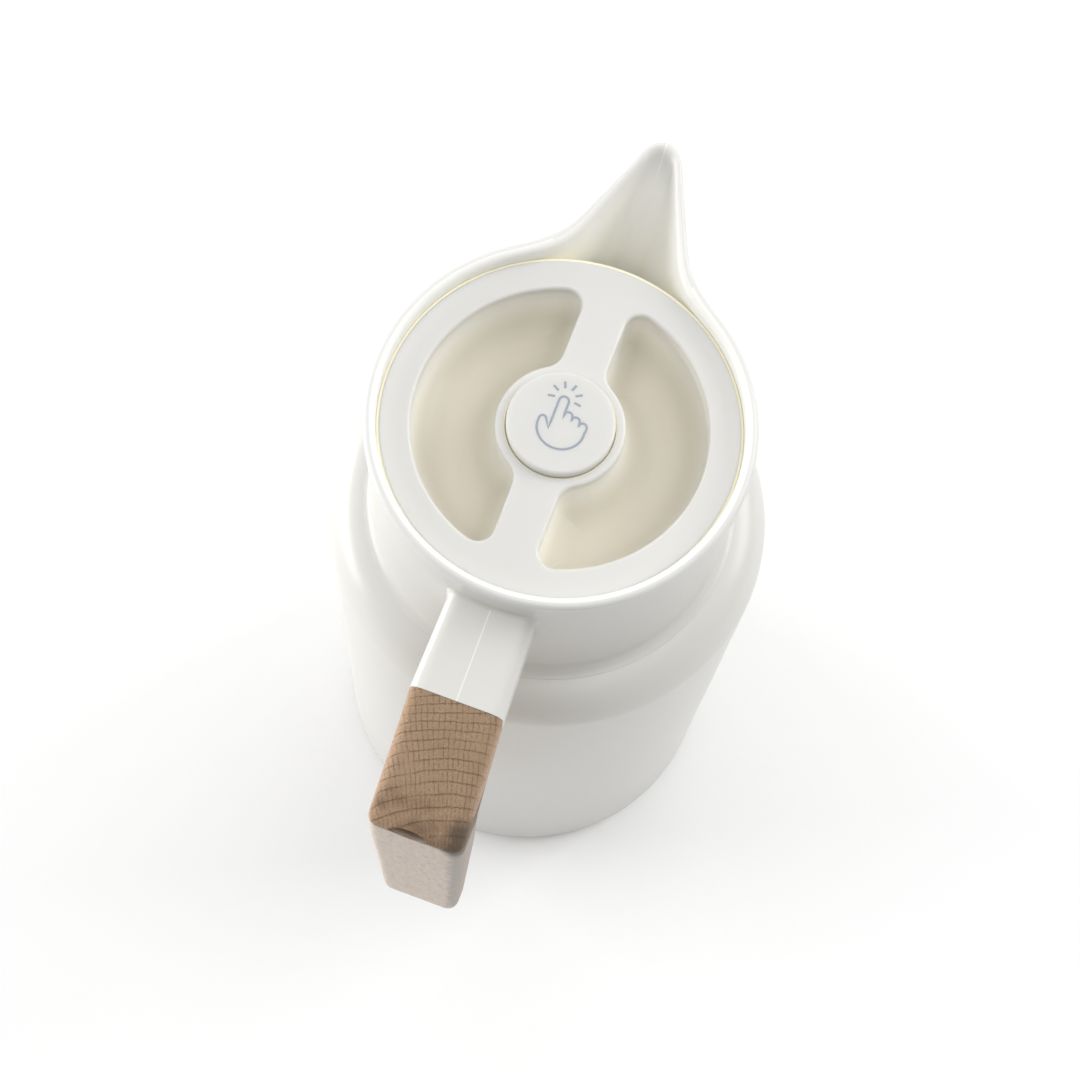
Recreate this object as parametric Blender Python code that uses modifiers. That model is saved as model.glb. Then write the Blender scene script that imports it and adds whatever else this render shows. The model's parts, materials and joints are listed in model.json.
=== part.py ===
"""Vacuum jug with a press-to-pour screw stopper, as separate solids in their working places.

The jug's axis is +Z, the spout points along +X and the handle along -X. The origin is the centre
of the flat underside. Sizes are in millimetres and become metres where a mesh is made.
"""

import math

import bmesh
import bpy
from mathutils import Matrix, Vector

MM = 0.001

# Driving dimensions, in millimetres.
GAP = 0.3                   # clearance between pieces that touch
RIM_Z = 240.0               # top of the collar's lip
RIM_RADIUS = 52.0           # outer radius of the collar's lip
COLLAR_BORE = 48.5          # inner radius of the collar, round the lid
SEAM_Z = 184.3              # lower edge of the collar's outer wall, on the shell's neck
COLLAR_FLOOR_Z = 206.0      # floor of the pouring chamber
SLEEVE_BORE = 35.2          # threaded sleeve that the stopper screws into
SLEEVE_RADIUS = 38.5
SLEEVE_BOTTOM_Z = 184.5
SPIGOT_RADIUS = 47.6        # collar's spigot inside the shell's neck
SPIGOT_BOTTOM_Z = 176.0

SPOUT_REACH = 83.6          # the spout's tip, from the axis
SPOUT_RISE = 7.0            # the tip stands this much above the rim
SPOUT_ROOT_Z = 188.0        # where the keel leaves the collar's wall
SPOUT_ROOT_X = 49.0
SPOUT_KEEL_POWER = 0.55     # shape of the keel, from root to tip
SPOUT_HALF_ANGLE = 25.6     # half the beak's angle in plan, degrees
SPOUT_NOSE_RADIUS = 6.6
SPOUT_WALL = 2.2
SPOUT_FILLET = 8.0          # blend between the beak and the round wall

BODY_RADIUS = 63.3          # widest, at the shoulder
BODY_FOOT_RADIUS = 60.8
SHOULDER_Z = 164.7
SHOULDER_ARC = 13.0
NECK_RADIUS = 50.2
SHELL_WALL = 2.3
SHELL_BORE = 57.3           # open bottom of the shell, wider than the glass

GLASS_WALL = 1.6
GLASS_RADIUS = 56.3
FLASK_RADIUS = 50.0         # inside of the glass
MOUTH_RADIUS = 31.0
MOUTH_Z = 182.0

ARM_WIDTH = 24.7            # handle, across
ARM_TOP_Z = 225.0           # top of the arm where the wood starts
ARM_HEIGHT = 15.4
ARM_END_X = -77.0
ELBOW = (-108.5, 195.0)     # the grip's outer corner, in x and z
GRIP_BOTTOM_Z = 95.5
ARM_FLARE = 0.033           # the handle's half width grows this much per mm towards the elbow
GRIP_TAPER = 0.0235         # and shrinks this much per mm below TAPER_TOP_Z
TAPER_TOP_Z = 180.0
ELBOW_HALF_WIDTH = 13.9
GRIP_EDGE_RADIUS = 3.4
TONGUE_DEPTH = 3.4          # the arm's tongue inside the wood: below the sloping top
TONGUE_HEIGHT = 4.4
TONGUE_END = 39.5           # along the slope
TONGUE_WIDTH = 12.0
SCREW_PLACES = (14.0, 29.0)  # the grip screws, along the slope
SCREW_TIP = 4.5             # depths of a screw's tip and of its head's two ends
SCREW_SEAT = 9.6
SCREW_TOP = 11.4

LID_TOP_Z = 235.5
LID_RADIUS = 47.9
LID_FLANGE_Z = 228.5
PAN_Z = 220.5               # floor of the lid's finger recesses
PAN_UNDER_Z = 218.3
RECESS_RADIUS = 39.5
BAR_HALF_WIDTH = 6.3
BOSS_RADIUS = 17.3
RECESS_FILLET = 5.0
CORNER_RADIUS = 4.5         # recess corners at the ring, in plan
BOSS_FILLET = 6.0           # where the bar meets the boss, in plan

BUTTON_RADIUS = 14.5
BUTTON_TOP_Z = 238.0
BUTTON_BORE = 14.9
BORE_FLOOR_Z = 222.3
BUTTON_TRAVEL = 5.0
STEM_RADIUS = 2.4

STOPPER_RADIUS = 33.2
THREAD_LEAD = 24.0          # rise in one turn
THREAD_STARTS = 3
THREAD_SPAN = 96.0          # degrees that one ridge covers
THREAD_Z = 194.0            # middle of the stopper's ridges
THREAD_OFFSET = 3.0         # the sleeve's ridges lie this much above them

ROUND = 36                  # facets round a large turned piece
HIDDEN = 24                 # facets round a hidden one
SMALL = 20                  # facets round a small one


# ---------------------------------------------------------------- scene and materials

def clear_scene():
    for obj in list(bpy.data.objects):
        bpy.data.objects.remove(obj, do_unlink=True)


def new_collection(name):
    collection = bpy.data.collections.new(name)
    bpy.context.scene.collection.children.link(collection)
    return collection


def new_material(name, colour, roughness, metallic=0.0):
    material = bpy.data.materials.new(name)
    material.use_nodes = True
    shader = material.node_tree.nodes["Principled BSDF"]
    shader.inputs["Base Color"].default_value = (*colour, 1.0)
    shader.inputs["Roughness"].default_value = roughness
    shader.inputs["Metallic"].default_value = metallic
    material.diffuse_color = (*colour, 1.0)
    return material


clear_scene()
JUG = new_collection("vacuum_jug")
CUTTERS = new_collection("cutters")

SHELL_WHITE = new_material("shell_white", (0.86, 0.86, 0.83), 0.32)
LID_WHITE = new_material("lid_white", (0.85, 0.85, 0.82), 0.42)
STOPPER_WHITE = new_material("stopper_white", (0.78, 0.79, 0.76), 0.45)
BASE_WHITE = new_material("base_white", (0.80, 0.80, 0.77), 0.45)
BEECH = new_material("beech", (0.46, 0.30, 0.20), 0.55)
SILVERED_GLASS = new_material("silvered_glass", (0.75, 0.77, 0.78), 0.08, 0.9)
SILICONE = new_material("silicone", (0.85, 0.80, 0.62), 0.5)
GREY_SILICONE = new_material("grey_silicone", (0.45, 0.46, 0.46), 0.6)
STEEL = new_material("steel", (0.62, 0.62, 0.60), 0.28, 1.0)


# ---------------------------------------------------------------- shape helpers

def arc(centre, radius, start, end, steps):
    """Points on an arc in the x-z plane; angles are in degrees, 0 along +x."""
    points = []
    for i in range(steps + 1):
        angle = math.radians(start + (end - start) * i / steps)
        points.append((centre[0] + radius * math.cos(angle), centre[1] + radius * math.sin(angle)))
    return points


def link_mesh(name, mesh, material, collection=JUG):
    obj = bpy.data.objects.new(name, mesh)
    collection.objects.link(obj)
    if material is not None:
        mesh.materials.append(material)
    if collection is CUTTERS:
        obj.hide_render = True
        obj.display_type = "WIRE"
    return obj


def smooth(obj, angle=35.0):
    obj.data.shade_smooth()
    obj.data.set_sharp_from_angle(angle=math.radians(angle))


def turned(name, profile, material, segments=ROUND, closed=True, collection=JUG):
    """A turned solid. The profile's (r, z) points run down its outer side."""
    mesh = bpy.data.meshes.new(name)
    vertices = [(r * MM, 0.0, z * MM) for r, z in profile]
    edges = [(i, i + 1) for i in range(len(profile) - 1)]
    if closed:
        edges.append((len(profile) - 1, 0))
    mesh.from_pydata(vertices, edges, [])
    obj = link_mesh(name, mesh, material, collection)
    screw = obj.modifiers.new("Turn", "SCREW")
    screw.axis = "Z"
    screw.angle = math.radians(360.0)
    screw.steps = segments
    screw.render_steps = segments
    screw.use_merge_vertices = True
    screw.merge_threshold = 0.00001
    screw.use_smooth_shade = True
    return obj


def ring_loft(name, sections, material):
    """A ring-shaped solid through closed sections that have the same number of points."""
    mesh = bpy.data.meshes.new(name)
    work = bmesh.new()
    loops = [[work.verts.new(Vector(point) * MM) for point in section] for section in sections]
    for this, following in zip(loops, loops[1:] + loops[:1]):
        for i in range(len(this)):
            j = (i + 1) % len(this)
            work.faces.new((this[i], this[j], following[j], following[i]))
    bmesh.ops.recalc_face_normals(work, faces=work.faces)
    work.to_mesh(mesh)
    work.free()
    obj = link_mesh(name, mesh, material)
    smooth(obj)
    return obj


def plate(name, outline, width, material, collection=JUG):
    """A flat outline in the x-z plane, as thick as width, centred on y = 0."""
    curve = bpy.data.curves.new(name, "CURVE")
    curve.dimensions = "2D"
    curve.fill_mode = "BOTH"
    curve.extrude = width * MM / 2.0
    spline = curve.splines.new("POLY")
    spline.points.add(len(outline) - 1)
    for point, (x, z) in zip(spline.points, outline):
        point.co = (x * MM, z * MM, 0.0, 1.0)
    spline.use_cyclic_u = True
    guide = bpy.data.objects.new(name + "_outline", curve)
    CUTTERS.objects.link(guide)
    guide.rotation_euler = (math.radians(90.0), 0.0, 0.0)
    bpy.context.view_layer.update()
    mesh = bpy.data.meshes.new_from_object(guide.evaluated_get(bpy.context.evaluated_depsgraph_get()))
    mesh.transform(guide.matrix_world)
    bpy.data.objects.remove(guide, do_unlink=True)
    work = bmesh.new()
    work.from_mesh(mesh)
    bmesh.ops.remove_doubles(work, verts=work.verts, dist=0.00001)
    bmesh.ops.dissolve_limit(work, angle_limit=math.radians(1.0), verts=work.verts, edges=work.edges)
    bmesh.ops.recalc_face_normals(work, faces=work.faces)
    work.to_mesh(mesh)
    work.free()
    mesh.materials.clear()
    return link_mesh(name, mesh, material, collection)


def bevel(obj, width, segments=3, angle=30.0):
    modifier = obj.modifiers.new("Rounded edges", "BEVEL")
    modifier.width = width * MM
    modifier.segments = segments
    modifier.limit_method = "ANGLE"
    modifier.angle_limit = math.radians(angle)
    modifier.use_clamp_overlap = True
    return modifier


def combine(target, tool, operation):
    modifier = target.modifiers.new(tool.name, "BOOLEAN")
    modifier.operation = operation
    modifier.solver = "EXACT"
    modifier.object = tool
    return modifier


def block(name, low, high):
    """A box cutter between two corners."""
    work = bmesh.new()
    bmesh.ops.create_cube(work, size=1.0)
    size = [(b - a) * MM for a, b in zip(low, high)]
    middle = [(a + b) * MM / 2.0 for a, b in zip(low, high)]
    bmesh.ops.scale(work, vec=size, verts=work.verts)
    bmesh.ops.translate(work, vec=middle, verts=work.verts)
    mesh = bpy.data.meshes.new(name)
    work.to_mesh(mesh)
    work.free()
    return link_mesh(name, mesh, None, CUTTERS)


def rod(name, start, end, radius, segments=SMALL):
    """A round cutter between two points."""
    start, end = Vector(start) * MM, Vector(end) * MM
    work = bmesh.new()
    bmesh.ops.create_cone(work, cap_ends=True, segments=segments, radius1=radius * MM,
                          radius2=radius * MM, depth=(end - start).length)
    turn = (end - start).to_track_quat("Z", "Y").to_matrix().to_4x4()
    bmesh.ops.transform(work, matrix=Matrix.Translation((start + end) / 2.0) @ turn,
                        verts=work.verts)
    mesh = bpy.data.meshes.new(name)
    work.to_mesh(mesh)
    work.free()
    return link_mesh(name, mesh, None, CUTTERS)


# ---------------------------------------------------------------- collar, spout and arm

def soft_max(a, b, blend):
    """The larger of two values, with a fillet where they cross."""
    return max(a, b) + max(blend - abs(a - b), 0.0) ** 2 / (4.0 * blend)


def beak(theta, nose_x, nose_radius):
    """Distance from the axis to the beak's wall at an angle from +X, for one height."""
    theta = abs(math.remainder(theta, 2.0 * math.pi))
    half = math.radians(SPOUT_HALF_ANGLE)
    centre_x = nose_x - nose_radius
    touch = math.atan2(nose_radius * math.cos(half), centre_x + nose_radius * math.sin(half))
    if theta < touch:
        side = centre_x * math.sin(theta)
        return centre_x * math.cos(theta) + math.sqrt(nose_radius ** 2 - side ** 2)
    if theta > math.pi / 2.0:
        return 0.0
    return (nose_radius + centre_x * math.sin(half)) / math.sin(half + theta)


def keel(z):
    """How far the spout's keel stands from the axis at a height."""
    share = (z - SPOUT_ROOT_Z) / (RIM_Z + SPOUT_RISE - SPOUT_ROOT_Z)
    share = min(max(share, 0.0), 1.0)
    return SPOUT_ROOT_X + (SPOUT_REACH - SPOUT_ROOT_X) * share ** SPOUT_KEEL_POWER


def collar_outside(theta, z):
    share = max(z - SEAM_Z, 0.0) / (RIM_Z - SEAM_Z)
    wall = NECK_RADIUS + 0.2 + (RIM_RADIUS - NECK_RADIUS - 0.2) * share ** 1.5
    nose = beak(theta, keel(z), SPOUT_NOSE_RADIUS)
    return soft_max(min(wall, RIM_RADIUS), nose, SPOUT_FILLET)


def collar_inside(theta, z):
    nose = beak(theta, keel(z) - SPOUT_WALL - 0.2, SPOUT_NOSE_RADIUS - SPOUT_WALL)
    return soft_max(COLLAR_BORE, nose, SPOUT_FILLET)


def lip_height(theta):
    reach = (collar_outside(theta, RIM_Z + SPOUT_RISE) - RIM_RADIUS) / (SPOUT_REACH - RIM_RADIUS)
    return RIM_Z + SPOUT_RISE * min(max(reach, 0.0), 1.0) ** 1.5


def collar_section(theta):
    """The collar's closed section at an angle from +X, down the outside and up the inside."""
    half_lip = (RIM_RADIUS - COLLAR_BORE) / 2.0
    lip_z = lip_height(theta)
    edge_z = lip_z - half_lip
    flat = []
    for share in (0.0, 0.1, 0.22, 0.36, 0.5, 0.64, 0.78, 0.9, 1.0):
        z = edge_z + (SEAM_Z - edge_z) * share
        flat.append((collar_outside(theta, z), z))
    floor_edge = collar_inside(theta, COLLAR_FLOOR_Z + 1.0)
    flat += [(SPIGOT_RADIUS, SEAM_Z), (SPIGOT_RADIUS, SPIGOT_BOTTOM_Z),
             (SPIGOT_RADIUS - 2.0, SPIGOT_BOTTOM_Z), (SPIGOT_RADIUS - 2.0, COLLAR_FLOOR_Z - 3.0),
             (SLEEVE_RADIUS, COLLAR_FLOOR_Z - 3.0), (SLEEVE_RADIUS, SLEEVE_BOTTOM_Z),
             (SLEEVE_BORE, SLEEVE_BOTTOM_Z), (SLEEVE_BORE, COLLAR_FLOOR_Z - 1.2),
             (SLEEVE_BORE + 1.2, COLLAR_FLOOR_Z), (floor_edge - 2.5, COLLAR_FLOOR_Z)]
    low = COLLAR_FLOOR_Z + 2.5
    for share in (0.0, 0.25, 0.5, 0.75, 1.0):
        z = low + (edge_z - low) * share
        flat.append((collar_inside(theta, z), z))
    inner, outer = flat[-1][0], flat[0][0]
    middle, reach = (inner + outer) / 2.0, (outer - inner) / 2.0
    for angle in (135.0, 90.0, 45.0):
        turn = math.radians(angle)
        flat.append((middle + reach * math.cos(turn), edge_z + half_lip * math.sin(turn)))
    return [(r * math.cos(theta), r * math.sin(theta), z) for r, z in flat]


def column_angles():
    """Angles of the collar's columns: even round the ring, closer together on the spout."""
    spout = (1.5, 3.0, 5.0, 7.5, 10.5, 14.0, 17.5, 20.5, 23.5, 26.5, 31.0)
    step = 360.0 / ROUND
    even = [i * step for i in range(ROUND + 1) if 36.0 <= i * step <= 324.0]
    angles = [0.0, *spout, *even, *[360.0 - a for a in reversed(spout)]]
    return [math.radians(a) for a in angles]


def thread_ridge(name, start, z, root, crest, root_half, crest_half):
    """One ridge of a screw thread, from its embedded root to its crest."""
    steps = 10
    work = bmesh.new()
    rings = []
    for i in range(steps + 1):
        turn = THREAD_SPAN * (i / steps - 0.5)
        angle = math.radians(start + turn)
        height = z + THREAD_LEAD * turn / 360.0
        ring = []
        for r, dz in ((root, -root_half), (crest, -crest_half), (crest, crest_half), (root, root_half)):
            point = Vector((r * math.cos(angle), r * math.sin(angle), height + dz)) * MM
            ring.append(work.verts.new(point))
        rings.append(ring)
    for this, following in zip(rings, rings[1:]):
        for i in range(4):
            j = (i + 1) % 4
            work.faces.new((this[i], this[j], following[j], following[i]))
    work.faces.new(rings[0])
    work.faces.new(rings[-1])
    bmesh.ops.recalc_face_normals(work, faces=work.faces)
    mesh = bpy.data.meshes.new(name)
    work.to_mesh(mesh)
    work.free()
    return link_mesh(name, mesh, None, CUTTERS)


def grip_axis(along, inward):
    """A point on the grip's sloping stretch: along it from the arm, and in from its top."""
    start = Vector((ARM_END_X, ARM_TOP_Z))
    slope = (Vector(ELBOW) - start).normalized()
    normal = Vector((-slope.y, slope.x))
    point = start + slope * along + normal * inward
    return point.x, point.y


def flare(obj):
    """Widens the handle towards its elbow and narrows it below, and keeps every face flat."""
    corner = Vector((ELBOW[0], 0.0, TAPER_TOP_Z)) * MM
    across = Vector((ARM_FLARE, 0.0, GRIP_TAPER)).normalized()
    work = bmesh.new()
    work.from_mesh(obj.data)
    bmesh.ops.bisect_plane(work, geom=work.verts[:] + work.edges[:] + work.faces[:], dist=0.000001,
                           plane_co=corner, plane_no=across)
    for vertex in work.verts:
        along = ARM_FLARE * (vertex.co.x - corner.x)
        down = GRIP_TAPER * (corner.z - vertex.co.z)
        half_width = ELBOW_HALF_WIDTH * MM - max(along, down)
        vertex.co.y = math.copysign(half_width, vertex.co.y)
    work.to_mesh(obj.data)
    work.free()


def tongue_outline(grow):
    """The arm's tongue inside the wood, in the x-z plane, grown by a clearance."""
    upper = TONGUE_DEPTH - grow
    lower = TONGUE_DEPTH + TONGUE_HEIGHT + grow
    end = TONGUE_END + grow
    return [grip_axis(end, upper), grip_axis(4.0, upper), (ARM_END_X + 1.5, ARM_TOP_Z - 4.7 + grow),
            (ARM_END_X + 1.5, ARM_TOP_Z - 10.8 - grow), grip_axis(8.5, lower), grip_axis(end, lower)]


def make_collar():
    collar = ring_loft("collar", [collar_section(a) for a in column_angles()], SHELL_WHITE)
    top_back = ARM_TOP_Z + 4.0
    outline = [(ARM_END_X - 6.0, ARM_TOP_Z - 0.9), (ARM_END_X - 6.0, ARM_TOP_Z - ARM_HEIGHT - 0.3),
               (-49.4, top_back - ARM_HEIGHT - 2.5), (-49.4, top_back)]
    arm = plate("arm", outline, ARM_WIDTH, None, CUTTERS)
    flare(arm)
    bevel(arm, GRIP_EDGE_RADIUS, 3)
    combine(arm, block("arm_end", (-100.0, -20.0, 190.0), (ARM_END_X, 20.0, 240.0)), "DIFFERENCE")
    combine(collar, arm, "UNION")
    tongue = plate("tongue", tongue_outline(0.0), TONGUE_WIDTH, None, CUTTERS)
    combine(collar, tongue, "UNION")
    for i in range(THREAD_STARTS):
        ridge = thread_ridge(f"sleeve_ridge_{i}", 360.0 * i / THREAD_STARTS, THREAD_Z + THREAD_OFFSET,
                             SLEEVE_BORE + 0.4, 33.6, 1.7, 1.0)
        combine(collar, ridge, "UNION")
    for along in SCREW_PLACES:
        line = screw_line(along, SCREW_SEAT, SCREW_TIP - GAP)
        combine(collar, rod(f"tongue_hole_{along:.0f}", *line, 1.5, 12), "DIFFERENCE")
    return collar


def screw_line(along, start, end):
    """Two points on a grip screw's axis, at two depths below the grip's sloping top."""
    low, high = grip_axis(along, start), grip_axis(along, end)
    return (low[0], 0.0, low[1]), (high[0], 0.0, high[1])


# ---------------------------------------------------------------- shell, glass and base

def make_outer_shell():
    inner_arc = SHOULDER_ARC - SHELL_WALL
    shoulder = (BODY_RADIUS - SHOULDER_ARC, SHOULDER_Z)
    profile = [(NECK_RADIUS, SEAM_Z - GAP)]
    profile += arc((NECK_RADIUS + 4.0, 181.5), 4.0, 180.0, 252.0, 4)
    profile += arc(shoulder, SHOULDER_ARC, 78.0, 0.0, 8)
    profile += [(61.9, 80.0), (BODY_FOOT_RADIUS, 8.0)]
    profile += arc((BODY_FOOT_RADIUS - 3.0, 4.2), 3.0, 0.0, -90.0, 3)
    profile += [(SHELL_BORE, 1.2), (SHELL_BORE, 12.0), (58.5, 16.0), (61.9 - SHELL_WALL, 80.0)]
    profile += arc(shoulder, inner_arc, 0.0, 75.0, 5)
    profile += [(SPIGOT_RADIUS + GAP, 174.8), (SPIGOT_RADIUS + GAP, SEAM_Z - GAP)]
    return turned("outer_shell", profile, SHELL_WHITE)


def make_glass_flask():
    """Double-walled glass: the two walls meet at the lip, and the tip's tube stays open."""
    vacuum_in = FLASK_RADIUS + GLASS_WALL
    vacuum_out = GLASS_RADIUS - GLASS_WALL
    lip = (MOUTH_RADIUS + 3.1, MOUTH_Z - 3.1)
    profile = [(0.0, 27.0), (34.0, 27.2)]
    profile += arc((38.0, 39.2), 12.0, -90.0, 0.0, 4)
    profile += [(FLASK_RADIUS, 136.0), (47.5, 146.0), (40.0, 154.5), (33.0, 161.0), (MOUTH_RADIUS, 167.0)]
    profile += arc(lip, 3.1, 180.0, 0.0, 4)
    profile += [(lip[0] + 3.1, 172.0), (39.0, 165.5), (47.0, 158.0), (54.0, 149.0), (GLASS_RADIUS, 138.0)]
    profile += arc((GLASS_RADIUS - 18.0, 32.5), 18.0, 0.0, -90.0, 5)
    profile += [(3.0, 13.0), (2.4, 8.0), (1.0, 8.0), (1.2, 14.6), (38.3, 16.1)]
    profile += arc((GLASS_RADIUS - 18.0, 32.5), 16.4, -85.0, 0.0, 4)
    profile += [(vacuum_out, 137.5), (52.6, 148.0), (46.0, 156.8), (37.9, 164.4), (35.6, 171.0),
                (35.6, 177.5), (32.6, 177.5), (32.6, 167.6), (34.4, 162.2), (41.2, 155.6), (48.8, 147.0),
                (vacuum_in, 136.4)]
    profile += arc((38.0, 39.2), 13.6, 0.0, -90.0, 4)
    profile += [(0.0, 25.4)]
    return turned("glass_flask", profile, SILVERED_GLASS, SMALL, closed=False)


def make_mouth_gasket():
    outer = SLEEVE_RADIUS + 1.1
    profile = [(outer, 184.2), (outer, 175.5), (37.6, 175.5), (37.6, MOUTH_Z + GAP),
               (MOUTH_RADIUS + 0.4, MOUTH_Z + GAP), (MOUTH_RADIUS + 0.4, 184.2)]
    return turned("mouth_gasket", profile, SILICONE)


def make_flask_cushion():
    profile = [(51.0, 19.1), (51.0, 4.6), (40.0, 4.6), (40.0, 14.1), (44.0, 14.9), (47.5, 16.5)]
    return turned("flask_cushion", profile, GREY_SILICONE, HIDDEN)


def make_base():
    cap_radius = SHELL_BORE - GAP
    profile = [(0.0, 4.3), (cap_radius - 2.6, 4.3), (cap_radius - 2.6, 11.5), (cap_radius, 11.5),
               (cap_radius, 1.2), (cap_radius - 1.2, 0.0), (52.0, 0.0), (52.0, 1.6), (46.0, 1.6),
               (46.0, 0.0), (0.0, 0.0)]
    cap = turned("base_cap", profile, BASE_WHITE, closed=False)
    for name, side in (("left", 1.0), ("right", -1.0)):
        low, high = sorted((side * 8.0, side * 30.0))
        pocket = block(f"cap_pocket_{name}", (-22.0, low, -1.0), (22.0, high, 2.4))
        bevel(pocket, 4.0, 3)
        combine(cap, pocket, "DIFFERENCE")
    pad = turned("base_pad", [(51.7, 1.3), (51.7, 0.0), (46.3, 0.0), (46.3, 1.3)], GREY_SILICONE)
    return cap, pad


# ---------------------------------------------------------------- wood grip

def make_wood_grip():
    start_x = ARM_END_X - GAP
    # The blank is longer at both ends, and is cut square once its long edges are rounded.
    outline = [(start_x + 6.0, ARM_TOP_Z + 5.5), (start_x + 6.0, ARM_TOP_Z - ARM_HEIGHT + 6.5),
               (-91.6, 194.2), (-93.4, 190.8), (-93.9, 187.0), (-95.5, GRIP_BOTTOM_Z - 6.0),
               (-105.6, GRIP_BOTTOM_Z - 6.0), (ELBOW[0], ELBOW[1] - 1.5), (ELBOW[0] + 1.2, ELBOW[1] + 1.2)]
    grip = plate("wood_grip", outline, ARM_WIDTH, BEECH)
    flare(grip)
    bevel(grip, GRIP_EDGE_RADIUS, 3, 40.0)
    combine(grip, block("grip_start", (start_x, -20.0, 200.0), (-60.0, 20.0, 240.0)), "DIFFERENCE")
    combine(grip, block("grip_foot", (-120.0, -20.0, 80.0), (-80.0, 20.0, GRIP_BOTTOM_Z)), "DIFFERENCE")
    # A lens-shaped pocket in the elbow's edge shows the end of the tongue.
    pocket = plate("elbow_pocket", lens_outline(5.6, 2.0), 14.0, None, CUTTERS)
    pocket.data.transform(Matrix.Rotation(math.radians(90.0), 4, "X"))
    aim = Vector((-0.92, 0.0, 0.39))
    turn = aim.to_track_quat("Z", "Y").to_matrix().to_4x4()
    place = Matrix.Translation(Vector((ELBOW[0] + 0.4, 1.5, ELBOW[1] - 1.6)) * MM)
    pocket.data.transform(place @ turn)
    combine(grip, pocket, "DIFFERENCE")
    socket = plate("grip_socket", tongue_outline(GAP), TONGUE_WIDTH + 2.0 * GAP, None, CUTTERS)
    combine(grip, socket, "DIFFERENCE")
    for along in SCREW_PLACES:
        head = rod(f"head_hole_{along:.0f}", *screw_line(along, 22.0, SCREW_SEAT - GAP), 3.1, 16)
        shank = rod(f"shank_hole_{along:.0f}", *screw_line(along, 20.0, 7.0), 1.7, 12)
        combine(grip, head, "DIFFERENCE")
        combine(grip, shank, "DIFFERENCE")
    smooth(grip)
    return grip


def lens_outline(half_length, half_width):
    """A lens in the x-z plane, longer in x, from two arcs."""
    steps = 6
    upper = [(half_length * (1.0 - 2.0 * i / steps),
              half_width * math.sin(math.pi * i / steps)) for i in range(steps + 1)]
    lower = [(x, -z) for x, z in reversed(upper[1:-1])]
    return upper + lower


def make_grip_screw(name, along):
    """A pan-head screw from the grip's underside into the tongue."""
    seat, top = SCREW_SEAT - SCREW_TIP, SCREW_TOP - SCREW_TIP
    profile = [(0.0, top - 1.0), (1.1, top - 1.0), (1.1, top), (2.0, top), (2.7, top - 0.7),
               (2.7, seat), (1.2, seat), (1.2, 0.0), (0.0, 0.0)]
    screw = turned(name, profile, STEEL, 16, closed=False)
    start, end = screw_line(along, SCREW_TOP, SCREW_TIP)
    turn = (Vector(start) - Vector(end)).to_track_quat("Z", "Y")
    screw.location = Vector(end) * MM
    screw.rotation_euler = turn.to_euler()
    return screw


# ---------------------------------------------------------------- lid and stopper

def recess_outline(inset, side):
    """Plan of one finger recess, pulled in from its walls; side is +1 or -1 in y."""
    outer = RECESS_RADIUS - inset
    boss = BOSS_RADIUS + inset
    bar = BAR_HALF_WIDTH + inset
    corner = max(CORNER_RADIUS - inset, 0.5)
    blend = max(BOSS_FILLET - inset, 0.5)
    # The corner circle touches the bar and the ring, the blend circle the bar and the boss.
    corner_y = bar + corner
    corner_x = math.sqrt((outer - corner) ** 2 - corner_y ** 2)
    blend_y = bar + blend
    blend_x = math.sqrt((boss + blend) ** 2 - blend_y ** 2)
    ring_angle = math.degrees(math.atan2(corner_y, corner_x))
    boss_angle = math.degrees(math.atan2(blend_y, blend_x))
    points = arc((corner_x, corner_y), corner, -90.0, ring_angle, 3)
    points += arc((0.0, 0.0), outer, ring_angle, 180.0 - ring_angle, 12)[1:-1]
    points += arc((-corner_x, corner_y), corner, 180.0 - ring_angle, 270.0, 3)
    points += arc((-blend_x, blend_y), blend, -90.0, -boss_angle, 2)
    points += arc((0.0, 0.0), boss, 180.0 - boss_angle, boss_angle, 8)[1:-1]
    points += arc((blend_x, blend_y), blend, 180.0 + boss_angle, 270.0, 2)
    return [(x, y * side) for x, y in points]


def recess_cutter(name, side):
    """The hollow of one recess: a straight wall, then a fillet down to the floor."""
    levels = [(0.0, LID_TOP_Z + 1.0), (0.0, PAN_Z + RECESS_FILLET)]
    for angle in (30.0, 60.0, 90.0):
        turn = math.radians(angle)
        levels.append((RECESS_FILLET * (1.0 - math.cos(turn)),
                       PAN_Z + RECESS_FILLET * (1.0 - math.sin(turn))))
    work = bmesh.new()
    loops = [[work.verts.new((x * MM, y * MM, z * MM)) for x, y in recess_outline(inset, side)]
             for inset, z in levels]
    for this, following in zip(loops, loops[1:]):
        for i in range(len(this)):
            j = (i + 1) % len(this)
            work.faces.new((this[i], this[j], following[j], following[i]))
    work.faces.new(loops[0])
    work.faces.new(loops[-1])
    bmesh.ops.recalc_face_normals(work, faces=work.faces)
    mesh = bpy.data.meshes.new(name)
    work.to_mesh(mesh)
    work.free()
    return link_mesh(name, mesh, None, CUTTERS)


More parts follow.
